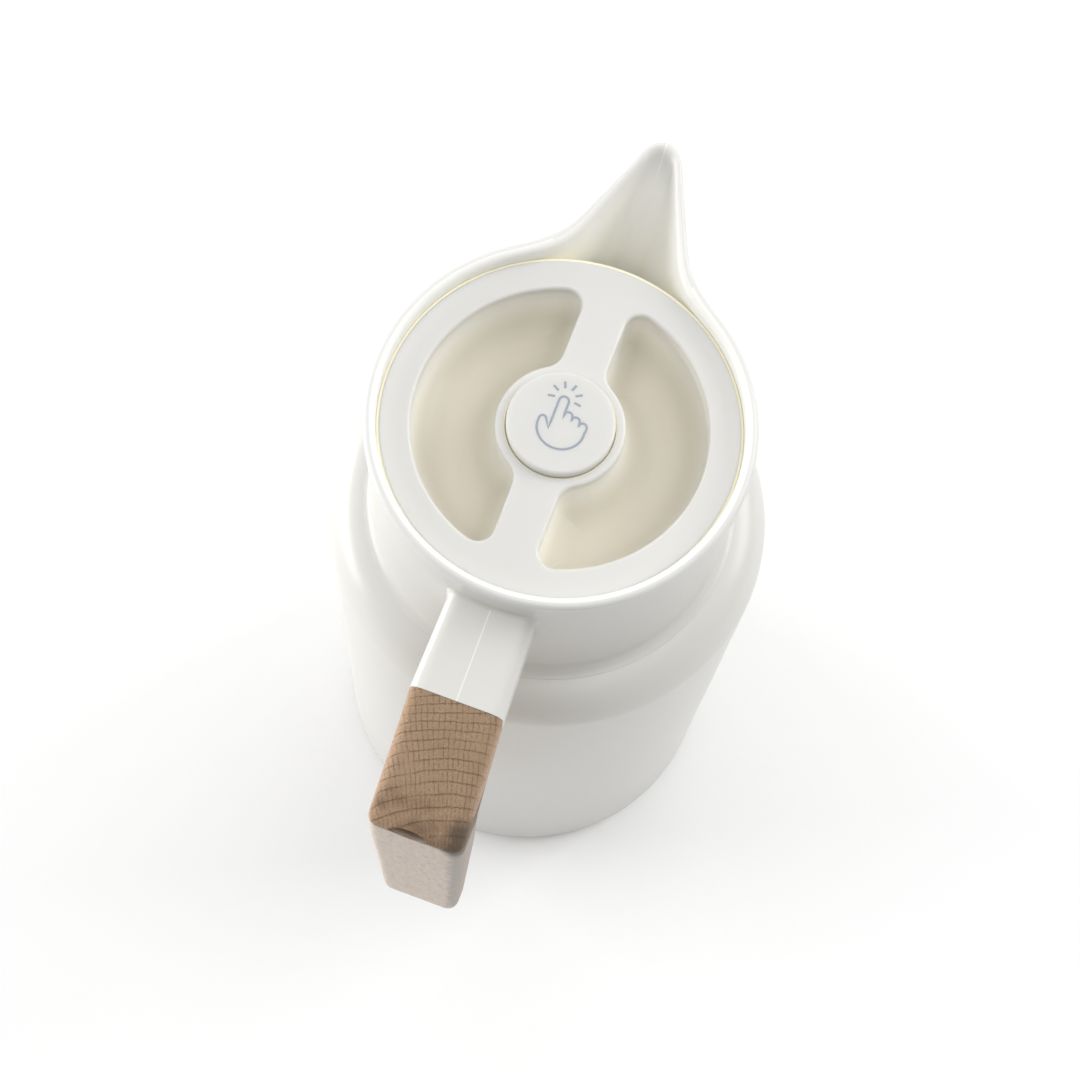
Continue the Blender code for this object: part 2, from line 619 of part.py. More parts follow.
def make_lid_cover():
    tube = 6.4
    profile = [(LID_RADIUS - 0.9, LID_TOP_Z), (LID_RADIUS, LID_TOP_Z - 0.9), (LID_RADIUS, LID_FLANGE_Z),
               (LID_RADIUS - 2.2, LID_FLANGE_Z), (LID_RADIUS - 2.2, LID_TOP_Z - 2.4),
               (RECESS_RADIUS + 2.2, LID_TOP_Z - 2.4)]
    profile += arc((RECESS_RADIUS - RECESS_FILLET, PAN_Z + RECESS_FILLET), RECESS_FILLET + 2.2, 0.0, -90.0, 4)
    profile += [(tube, PAN_UNDER_Z), (tube, 210.0), (5.0, 210.0), (5.0, 213.0), (STEM_RADIUS + 0.5, 213.0),
                (STEM_RADIUS + 0.5, BORE_FLOOR_Z), (BUTTON_BORE, BORE_FLOOR_Z),
                (BUTTON_BORE, LID_TOP_Z - 0.4), (BUTTON_BORE + 0.4, LID_TOP_Z)]
    cover = turned("lid_cover", profile, LID_WHITE)
    combine(cover, recess_cutter("recess_left", 1.0), "DIFFERENCE")
    combine(cover, recess_cutter("recess_right", -1.0), "DIFFERENCE")
    return cover


def make_stopper_body():
    profile = [(STOPPER_RADIUS, PAN_UNDER_Z - GAP), (STOPPER_RADIUS, 188.2), (29.6, 188.2), (29.6, 174.5),
               (28.6, 173.5), (13.4, 173.5), (13.0, 174.0), (13.0, 176.0), (27.4, 176.0), (27.4, 187.0),
               (31.0, 191.0), (31.0, PAN_UNDER_Z - GAP)]
    stopper = turned("stopper_body", profile, STOPPER_WHITE)
    for i in range(THREAD_STARTS):
        ridge = thread_ridge(f"stopper_ridge_{i}", 360.0 * i / THREAD_STARTS, THREAD_Z,
                             STOPPER_RADIUS - 0.4, 34.6, 1.7, 1.0)
        combine(stopper, ridge, "UNION")
    for i in range(4):
        port = block(f"pour_port_{i}", (-7.0, -40.0, 207.5), (7.0, 40.0, 215.0))
        port.rotation_euler = (0.0, 0.0, math.radians(45.0 * i + 22.5))
        combine(stopper, port, "DIFFERENCE")
    return stopper


def make_seals():
    turned("stopper_gasket", [(32.8, 187.9), (32.8, 184.6), (30.0, 184.6), (30.0, 187.9)], SILICONE)
    turned("lid_seal_ring", [(48.0, LID_FLANGE_Z - GAP), (48.0, 226.4), (44.8, 226.4),
                             (44.8, LID_FLANGE_Z - GAP)], SILICONE)
    turned("stem_seal", [(4.7, 212.7), (4.7, 210.2), (2.7, 210.2), (2.7, 212.7)], SILICONE, SMALL)


# ---------------------------------------------------------------- button and valve

def make_button():
    skirt_z = BORE_FLOOR_Z + BUTTON_TRAVEL + 0.7
    profile = [(0.0, BUTTON_TOP_Z), (BUTTON_RADIUS - 1.0, BUTTON_TOP_Z), (BUTTON_RADIUS - 0.3, BUTTON_TOP_Z - 0.3),
               (BUTTON_RADIUS, BUTTON_TOP_Z - 1.0), (BUTTON_RADIUS, skirt_z), (12.7, skirt_z), (12.7, 236.0),
               (4.5, 236.0), (4.5, 229.0), (2.7, 229.0), (2.7, 235.0), (0.0, 235.0)]
    return turned("push_button", profile, LID_WHITE, closed=False)


def make_button_spring():
    turns, radius, wire = 5.0, 9.0, 0.55
    low, high = BORE_FLOOR_Z + GAP + wire, 236.0 - GAP - wire
    curve = bpy.data.curves.new("button_spring", "CURVE")
    curve.dimensions = "3D"
    curve.bevel_depth = wire * MM
    curve.bevel_resolution = 2
    curve.use_fill_caps = True
    spline = curve.splines.new("POLY")
    count = int(turns * 10)
    spline.points.add(count)
    for i, point in enumerate(spline.points):
        angle = 2.0 * math.pi * turns * i / count
        z = low + (high - low) * i / count
        point.co = (radius * math.cos(angle) * MM, radius * math.sin(angle) * MM, z * MM, 1.0)
    spring = bpy.data.objects.new("button_spring", curve)
    curve.materials.append(STEEL)
    JUG.objects.link(spring)
    return spring


def make_valve():
    stem = [(0.0, 234.7), (STEM_RADIUS - 0.4, 234.7), (STEM_RADIUS, 234.3), (STEM_RADIUS, 163.9),
            (STEM_RADIUS - 0.4, 163.5), (0.0, 163.5)]
    turned("valve_stem", stem, STEEL, SMALL, closed=False)
    disc = [(15.5, 170.0), (15.5, 168.4), (5.0, 167.0), (2.7, 167.0), (2.7, 170.0)]
    turned("valve_disc", disc, STOPPER_WHITE, HIDDEN)
    seal = [(15.8, 173.2), (15.8, 170.3), (2.9, 170.3), (2.9, 171.6), (13.4, 171.6), (14.2, 173.2)]
    turned("valve_seal", seal, SILICONE, HIDDEN)
    turned("valve_nut", [(4.4, 166.7), (4.4, 164.2), (2.9, 164.2), (2.9, 166.7)], STEEL, 6)


# ---------------------------------------------------------------- build

make_outer_shell()
make_collar()
make_glass_flask()
make_mouth_gasket()
make_flask_cushion()
make_base()
make_wood_grip()
make_grip_screw("grip_screw_upper", SCREW_PLACES[0])
make_grip_screw("grip_screw_lower", SCREW_PLACES[1])
make_lid_cover()
make_stopper_body()
make_seals()
make_button()
make_button_spring()
make_valve()
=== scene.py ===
"""Vacuum jug with a press-to-pour stopper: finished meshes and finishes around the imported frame.

The jug stands on its flat base at the origin, with +Z up, the spout along +X and the handle along
-X. Forms are shaped in millimetres and become metres when they are linked. Each visible moulding
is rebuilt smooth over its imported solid, and the hidden pieces keep their solids.
"""

import json
import logging
import math
from dataclasses import dataclass
from enum import Enum
from typing import Any, Callable, Mapping, Sequence

import bmesh
import bpy
from bmesh.types import BMEdge, BMesh, BMFace, BMVert
from mathutils import Matrix, Vector

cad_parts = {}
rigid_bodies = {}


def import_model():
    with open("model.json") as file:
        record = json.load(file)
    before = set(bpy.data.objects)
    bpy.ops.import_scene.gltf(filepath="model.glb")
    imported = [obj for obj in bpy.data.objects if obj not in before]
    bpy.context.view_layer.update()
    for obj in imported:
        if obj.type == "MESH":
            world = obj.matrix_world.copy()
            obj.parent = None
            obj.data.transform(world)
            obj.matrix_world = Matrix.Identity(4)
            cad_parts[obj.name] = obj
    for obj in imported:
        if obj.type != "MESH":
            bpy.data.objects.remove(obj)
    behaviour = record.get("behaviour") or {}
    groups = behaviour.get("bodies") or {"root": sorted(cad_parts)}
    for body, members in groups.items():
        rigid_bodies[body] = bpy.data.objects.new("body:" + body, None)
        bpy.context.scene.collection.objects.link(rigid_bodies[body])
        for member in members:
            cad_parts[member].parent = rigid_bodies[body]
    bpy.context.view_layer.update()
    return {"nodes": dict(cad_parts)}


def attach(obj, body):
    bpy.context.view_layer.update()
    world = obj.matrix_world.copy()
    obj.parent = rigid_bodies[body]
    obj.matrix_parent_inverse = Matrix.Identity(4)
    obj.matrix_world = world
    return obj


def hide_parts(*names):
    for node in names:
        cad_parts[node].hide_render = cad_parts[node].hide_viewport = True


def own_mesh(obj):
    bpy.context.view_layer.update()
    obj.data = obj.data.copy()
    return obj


LOG = logging.getLogger("vacuum_jug")

MM = 0.001
MERGE = 0.0005  # millimetres
SHARP_ANGLE = 38.0  # degrees

Pair = tuple[float, float]
Point = tuple[float, float, float]
Colour = tuple[float, float, float]


class Body(str, Enum):
    """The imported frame's bodies that carry rebuilt pieces."""

    JUG = "jug"
    LID = "lid"
    VALVE = "press_valve"


# ---------------------------------------------------------------- shader graphs


class Value:
    """One socket of a material, with arithmetic that adds Math nodes."""

    def __init__(self, graph: "Graph", socket: bpy.types.NodeSocket) -> None:
        """Keeps the socket and the graph that new nodes go into."""
        self.graph = graph
        self.socket = socket

    def math(self, operation: str, *others: "Value | float", swap: bool = False) -> "Value":
        """Adds a Math node.

        Args:
            operation: The Math node's operation.
            others: The other operands.
            swap: Puts this value after the first of the others.

        Returns:
            The node's result.
        """
        operands: list[Any] = [self, *others]
        if swap:
            operands[0], operands[1] = operands[1], operands[0]
        return self.graph.node("ShaderNodeMath", {"operation": operation}, dict(enumerate(operands)))

    def __add__(self, other: "Value | float") -> "Value":
        """Sum."""
        return self.math("ADD", other)

    __radd__ = __add__

    def __sub__(self, other: "Value | float") -> "Value":
        """Difference."""
        return self.math("SUBTRACT", other)

    def __rsub__(self, other: float) -> "Value":
        """Difference with a number on the left."""
        return self.math("SUBTRACT", other, swap=True)

    def __mul__(self, other: "Value | float") -> "Value":
        """Product."""
        return self.math("MULTIPLY", other)

    __rmul__ = __mul__

    def __truediv__(self, other: "Value | float") -> "Value":
        """Quotient."""
        return self.math("DIVIDE", other)

    def __pow__(self, power: float) -> "Value":
        """Power."""
        return self.math("POWER", power)

    def absolute(self) -> "Value":
        """Size without its sign."""
        return self.math("ABSOLUTE")

    def rise(self, low: float, high: float) -> "Value":
        """A smooth step from 0 at low to 1 at high; high may be the smaller of the two."""
        settings = {"interpolation_type": "SMOOTHSTEP"}
        inputs = {"Value": self, "From Min": low, "From Max": high}
        return self.graph.node("ShaderNodeMapRange", settings, inputs)


class Graph:
    """The node tree of one finish, round a Principled shader."""

    def __init__(self, name: str) -> None:
        """Starts a material with only its shader and its output.

        Args:
            name: The material's name.
        """
        self.material = bpy.data.materials.new(name)
        self.material.use_nodes = True
        self.tree = self.material.node_tree
        self.shader = self.tree.nodes["Principled BSDF"]
        coordinates = self.tree.nodes.new("ShaderNodeTexCoord")
        self.place = Value(self, coordinates.outputs["Object"])

    def node(self, kind: str, settings: Mapping[str, Any], inputs: Mapping[Any, Any],
             output: int | str = 0) -> Value:
        """Adds a node.

        Args:
            kind: The node's type.
            settings: Its properties, which are set first.
            inputs: Numbers, colours or values by socket name or index.
            output: The socket that is wanted.

        Returns:
            The value at that socket.
        """
        node = self.tree.nodes.new(kind)
        for key, setting in settings.items():
            setattr(node, key, setting)
        for key, given in inputs.items():
            if isinstance(given, Value):
                self.tree.links.new(given.socket, node.inputs[key])
            else:
                node.inputs[key].default_value = given
        return Value(self, node.outputs[output])

    def axes(self) -> tuple[Value, Value, Value]:
        """The piece's own x, y and z, in metres."""
        return tuple(self.node("ShaderNodeSeparateXYZ", {}, {0: self.place}, axis) for axis in "XYZ")

    def noise(self, scale: float, detail: float = 2.0, stretch: Point = (1.0, 1.0, 1.0)) -> Value:
        """Smooth noise between 0 and 1.

        Args:
            scale: Features per metre.
            detail: Octaves.
            stretch: A scale for each axis.

        Returns:
            The noise's factor.
        """
        vector = self.place
        if stretch != (1.0, 1.0, 1.0):
            vector = self.node("ShaderNodeMapping", {}, {"Vector": self.place, "Scale": stretch})
        return self.node("ShaderNodeTexNoise", {}, {"Vector": vector, "Scale": scale, "Detail": detail})

    def mix(self, share: Value | float, first: Any, second: Any) -> Value:
        """A colour between two, by a share.

        Args:
            share: 0 gives the first and 1 the second.
            first: A colour or a value.
            second: A colour or a value.

        Returns:
            The mixed colour.
        """
        settings = {"data_type": "RGBA"}
        inputs = {0: share, 6: self.full(first), 7: self.full(second)}
        return self.node("ShaderNodeMix", settings, inputs, 2)

    def layers(self, tone: Any, *over: tuple[Any, Any]) -> Value:
        """Lays colours over a tone in turn.

        Args:
            tone: The tone underneath.
            over: A share and a colour for each layer.

        Returns:
            The last mixed colour.
        """
        for share, colour in over:
            tone = self.mix(share, tone, colour)
        return tone

    @staticmethod
    def full(colour: Any) -> Any:
        """Gives a plain colour its fourth channel, and leaves a value alone."""
        return colour if isinstance(colour, Value) else (*colour, 1.0)

    def bump(self, height: Value, distance: float, strength: float = 1.0) -> None:
        """Feeds a height in metres times distance to the shader's normal.

        Args:
            height: The height between 0 and 1.
            distance: What 1 stands for, in metres.
            strength: The bump's strength.
        """
        inputs = {"Height": height, "Distance": distance, "Strength": strength}
        self.feed("Normal", self.node("ShaderNodeBump", {}, inputs))

    def feed(self, name: str, given: Any) -> None:
        """Sets one of the shader's sockets.

        Args:
            name: The socket.
            given: A value to link, or a number or colour to set.
        """
        if isinstance(given, Value):
            self.tree.links.new(given.socket, self.shader.inputs[name])
        elif isinstance(given, tuple):
            self.shader.inputs[name].default_value = self.full(given)
        else:
            self.shader.inputs[name].default_value = given


# ---------------------------------------------------------------- finishes

# Painted shade in the gap round the button's bore.
PAINTED_GAP_SHADE: Colour = (0.90, 0.84, 0.60)
MOULD_LINE_HIGHLIGHT: Colour = (0.97, 0.97, 0.96)
SOAK_RADIUS: Colour = (1.0, 0.92, 0.75)
SOAK_SCALE = 0.003
GAP_BLUR = 0.15  # millimetres

# The mould line in the plane y = 0, a real ridge with a painted highlight, as smooth steps in metres:
# across it, from the wall, from below.
LINE_ACROSS: Pair = (0.00028, 0.00010)
LINE_OUTSIDE: Pair = (0.0515, 0.0530)
LINE_ABOVE: Pair = (0.2000, 0.2040)


def tint(colour: Colour, factor: float) -> Colour:
    """A colour made lighter or darker by a factor, no lighter than white."""
    return tuple(min(1.0, channel * factor) for channel in colour)


@dataclass(frozen=True)
class Finish:
    """A named material and the slot that it takes."""

    name: str
    slot: str

    def shade(self, graph: Graph) -> None:
        """Adds the finish's nodes to its graph."""
        raise NotImplementedError

    def build(self) -> bpy.types.Material:
        """Makes the material.

        Returns:
            The finished material.
        """
        graph = Graph(self.name)
        self.shade(graph)
        return graph.material


@dataclass(frozen=True)
class Plastic(Finish):
    """Moulded plastic with a fine skin, which light soaks into. Bands by height and gap rings carry
    painted light and painted shade.
    """

    colour: Colour
    roughness: float
    # Colours painted over two bands of height: painted light and painted shade, not the plastic's own
    # tone.
    painted_high_colour: Colour = (0.90, 0.88, 0.80)
    painted_high_span: Pair = (0.0, 0.0)
    painted_low_colour: Colour = (0.70, 0.65, 0.52)
    painted_low_span: Pair = (0.0, 0.0)
    gap_shade_rings: tuple[Pair, ...] = ()
    mould_line: bool = False
    soak: float = 0.0

    def shade(self, graph: Graph) -> None:
        """Adds the finish's nodes to its graph."""
        x, y, z = graph.axes()
        cloud = graph.noise(38.0, 3.0)
        tone = graph.mix(cloud, tint(self.colour, 0.975), tint(self.colour, 1.015))
        # Painted light and painted shade, laid over the two bands of height.
        painted_bands = ((self.painted_high_span, self.painted_high_colour), (self.painted_low_span, self.painted_low_colour))
        for (start, end), colour in painted_bands:
            if start != end:
                tone = graph.mix(z.rise(start * MM, end * MM), tone, colour)
        radius = (x * x + y * y).math("SQRT")
        # Painted gap shade on rings by radius from the axis.
        for low, high in self.gap_shade_rings:
            beyond = radius.rise((low - GAP_BLUR) * MM, low * MM)
            within = radius.rise((high + GAP_BLUR) * MM, high * MM)
            tone = graph.mix(beyond * within, tone, PAINTED_GAP_SHADE)
        height = graph.noise(1500.0, 2.0) * 0.35
        if self.mould_line:
            line = y.absolute().rise(*LINE_ACROSS) * x.absolute().rise(*LINE_OUTSIDE)
            line = line * z.rise(*LINE_ABOVE)
            # Painted highlight along the mould line; the bump below adds the ridge itself.
            tone = graph.mix(line * 0.55, tone, MOULD_LINE_HIGHLIGHT)
            height = height + line
        graph.feed("Base Color", tone)
        graph.feed("Roughness", (cloud - 0.5) * 0.08 + self.roughness)
        graph.feed("Specular IOR Level", 0.42)
        if self.soak > 0.0:
            graph.feed("Subsurface Weight", self.soak)
            graph.feed("Subsurface Scale", SOAK_SCALE)
            graph.shader.inputs["Subsurface Radius"].default_value = SOAK_RADIUS
        graph.bump(height, 0.00006, 0.5)


@dataclass(frozen=True)
class Beech(Finish):
    """Oiled beech: end grain on the sloping top, long grain with flecks on the upright faces."""

    name: str = "beech_finish"
    slot: str = "beech"
    top: Point = (-0.0770, 0.0, 0.2250)
    inward: Point = (0.690, 0.0, -0.724)
    heart: Pair = (-0.165, -0.028)
    ring_rate: float = 33670.0
    ring_power: float = 3.18
    ray_pitch: float = 0.0165
    outer_face: Pair = (0.1085, 0.0277)
    elbow_z: float = 0.195
    end_tones: tuple[Colour, Colour] = ((0.370, 0.235, 0.140), (0.500, 0.345, 0.225))
    side_tones: tuple[Colour, Colour] = ((0.430, 0.280, 0.185), (0.580, 0.410, 0.290))
    face_tones: tuple[Colour, Colour] = ((0.640, 0.540, 0.455), (0.790, 0.705, 0.625))
    late_wood: Colour = (0.130, 0.070, 0.038)
    ray_brown: Colour = (0.150, 0.084, 0.048)
    pore_pale: Colour = (0.600, 0.440, 0.310)
    stain_brown: Colour = (0.130, 0.080, 0.050)
    face_fleck: Colour = (0.380, 0.275, 0.205)
    side_fleck: Colour = (0.270, 0.165, 0.105)
    # Painted sheen on the -Y side face below the elbow.
    painted_side_sheen: Colour = (0.420, 0.395, 0.360)
    corner_dark: Colour = (0.105, 0.080, 0.060)

    def shade(self, graph: Graph) -> None:
        """Adds the finish's nodes to its graph."""
        x, y, z = graph.axes()
        depth = (x - self.top[0]) * self.inward[0] + (z - self.top[2]) * self.inward[2]
        end_grain = depth.rise(0.0022, 0.0004)
        face_x, face_lean = self.outer_face
        face = (x + face_x + (z - self.elbow_z) * face_lean).rise(0.0026, 0.0006)
        face = face * z.rise(0.1985, 0.1935)
        warp = graph.noise(90.0, 3.0) - 0.5
        drift = graph.noise(22.0, 1.0) - 0.5
        from_heart_x, from_heart_y = x - self.heart[0], y - self.heart[1]
        radius = (from_heart_x * from_heart_x + from_heart_y * from_heart_y).math("SQRT")
        radius = radius + warp * 0.0016 + drift * 0.0050
        angle = from_heart_y.math("ARCTAN2", from_heart_x)
        ring = (radius ** self.ring_power * self.ring_rate).math("FRACT")
        late = ring.rise(0.74, 0.95) * ring.rise(1.0, 0.97)
        ring_strength = graph.noise(110.0, 2.0).rise(0.20, 0.55)
        ray = ((angle + warp * 0.020) / self.ray_pitch).math("FRACT")
        ray_line = (ray - 0.5).absolute().rise(0.20, 0.04)
        ray_strength = graph.noise(420.0, 3.0).rise(0.30, 0.62)
        pores = graph.noise(2100.0, 3.0)
        patch = graph.noise(75.0, 3.0)

        stain = graph.noise(95.0, 2.0).rise(0.36, 0.60) * z.rise(0.2070, 0.1990)
        top_tone = graph.layers(
            graph.mix(patch, *self.end_tones),
            (late * ring_strength * 0.62, self.late_wood),
            (ray_line * ray_strength * 0.50, self.ray_brown),
            (pores.rise(0.50, 0.68) * 0.50, self.pore_pale),
            (stain * 0.55, self.stain_brown),
        )

        fibre = graph.noise(700.0, 3.0, (1.0, 1.0, 0.10))
        fleck = graph.noise(1700.0, 2.0, (1.0, 0.35, 0.60)).rise(0.54, 0.66)
        face_tone = graph.mix(fleck * 0.40, graph.mix(fibre, *self.face_tones), self.face_fleck)
        side_tone = graph.mix(fleck * 0.50, graph.mix(fibre, *self.side_tones), self.side_fleck)
        ragged = (graph.noise(420.0, 3.0) - 0.5) * 0.006
        # Painted sheen: grey laid on the -Y side face below the elbow, where light falls on it.
        grey = (y + ragged).rise(-0.0085, -0.0115) * (z + ragged).rise(0.1965, 0.1900)
        corner = (y + ragged).rise(-0.0070, -0.0105) * (z + ragged).rise(0.2035, 0.1985)
        corner = corner * (z + ragged).rise(0.1860, 0.1930)
        tone = graph.layers(
            graph.mix(face, side_tone, face_tone),
            (end_grain, top_tone),
            (grey * 0.70, self.painted_side_sheen),
            (corner * 0.75, self.corner_dark),
        )

        groove = late * ring_strength * 0.6 + ray_line * ray_strength * 0.4
        height = 1.0 - groove * end_grain - fleck * 0.35 - pores * 0.2
        graph.feed("Base Color", tone)
        graph.feed("Roughness", (fibre - 0.5) * 0.16 + 0.60)
        graph.feed("Specular IOR Level", 0.30)
        graph.bump(height, 0.00012, 0.8)


@dataclass(frozen=True)
class Rubber(Finish):
    """Soft silicone with a dull skin."""

    colour: Colour
    roughness: float = 0.52

    def shade(self, graph: Graph) -> None:
        """Adds the finish's nodes to its graph."""
        cloud = graph.noise(120.0, 3.0)
        graph.feed("Base Color", graph.mix(cloud, tint(self.colour, 0.93), self.colour))
        graph.feed("Roughness", (cloud - 0.5) * 0.12 + self.roughness)
        graph.feed("Specular IOR Level", 0.35)
        graph.bump(graph.noise(2200.0, 2.0), 0.00005, 0.5)


@dataclass(frozen=True)
class Metal(Finish):
    """Turned or drawn metal with fine marks, or silvered glass where the marks are faint."""

    colour: Colour
    roughness: float
    marks: float = 0.00002

    def shade(self, graph: Graph) -> None:
        """Adds the finish's nodes to its graph."""
        streak = graph.noise(900.0, 3.0, (0.5, 0.5, 6.0))
        graph.feed("Base Color", graph.mix(streak, tint(self.colour, 0.90), self.colour))
        graph.feed("Metallic", 1.0)
        graph.feed("Roughness", (streak - 0.5) * 0.10 + self.roughness)
        graph.bump(streak, self.marks, 0.5)


@dataclass(frozen=True)
class Print(Finish):
    """The grey-blue ink of the button's sign."""

    name: str = "sign_ink"
    slot: str = "lid_white"
    colour: Colour = (0.275, 0.315, 0.370)

    def shade(self, graph: Graph) -> None:
        """Adds the finish's nodes to its graph."""
        wear = graph.noise(1800.0, 2.0)
        graph.feed("Base Color", graph.mix(wear, self.colour, tint(self.colour, 1.25)))
        graph.feed("Roughness", (wear - 0.5) * 0.1 + 0.5)


# The shell's high band lightens the rim's top: painted highlight.
SHELL_WHITE = Plastic("shell_white_finish", "shell_white", (0.708, 0.700, 0.664), 0.30,
                      painted_high_colour=(0.745, 0.74, 0.72), painted_high_span=(235.5, 239.0), mould_line=True)
# The channel's high and low bands are painted light, lighter than the plastic, for light coming through
# the thin spout wall.
CHANNEL_WHITE = Plastic("channel_white_finish", "shell_white", (0.78, 0.775, 0.755), 0.34,
                        painted_high_colour=(0.965, 0.96, 0.92), painted_high_span=(246.0, 234.0),
                        painted_low_colour=(0.96, 0.93, 0.80), painted_low_span=(230.0, 208.0),
                        mould_line=True, soak=0.3)
# The lid's high band lightens the recess walls as painted light, its low band darkens the recess floors
# as painted shade, and its gap ring is painted gap shade.
LID_WHITE = Plastic("lid_white_finish", "lid_white", (0.700, 0.695, 0.672), 0.40,
                    painted_high_colour=(0.93, 0.915, 0.85), painted_high_span=(235.2, 231.0),
                    painted_low_colour=(0.64, 0.60, 0.50), painted_low_span=(229.0, 220.6),
                    gap_shade_rings=((14.72, 15.0),), soak=0.5)
STOPPER_WHITE = Plastic("stopper_white_finish", "stopper_white", (0.70, 0.70, 0.67), 0.45)
BASE_WHITE = Plastic("base_white_finish", "base_white", (0.71, 0.71, 0.68), 0.48)
BEECH = Beech()
CREAM_SILICONE = Rubber("cream_silicone_finish", "silicone", (0.97, 0.92, 0.68))
GREY_SILICONE = Rubber("grey_silicone_finish", "grey_silicone", (0.36, 0.37, 0.37), 0.62)
STEEL = Metal("satin_steel_finish", "steel", (0.62, 0.62, 0.60), 0.27)
SILVERED = Metal("silvered_glass_finish", "silvered_glass", (0.80, 0.82, 0.83), 0.07, 0.000004)
INK = Print()


class Finishes:
    """The materials, each made once."""

    def __init__(self) -> None:
        """Starts with none made."""
        self.made: dict[str, bpy.types.Material] = {}

    def get(self, finish: Finish) -> bpy.types.Material:
        """The material of a finish."""
        if finish.name not in self.made:
            self.made[finish.name] = finish.build()
        return self.made[finish.name]


# ---------------------------------------------------------------- forms


def arc(centre: Pair, radius: float, start: float, end: float, steps: int) -> list[Pair]:
    """Points on an arc.

    Args:
        centre: Its centre.
        radius: Its radius.
        start: First angle in degrees, 0 along the first axis.
        end: Last angle.
        steps: Number of steps between them.

    Returns:
        The points, both ends included.
    """
    turns = [math.radians(start + (end - start) * i / steps) for i in range(steps + 1)]
    return [(centre[0] + radius * math.cos(t), centre[1] + radius * math.sin(t)) for t in turns]


def blend(low: float, high: float, share: float) -> float:
    """A number between two, by a share."""
    return low + (high - low) * share


def between(first: Pair, second: Pair, share: float) -> Pair:
    """A point between two, by a share."""
    return blend(first[0], second[0], share), blend(first[1], second[1], share)


def clamp(number: float, low: float = 0.0, high: float = 1.0) -> float:
    """The number kept between two limits."""
    return min(max(number, low), high)


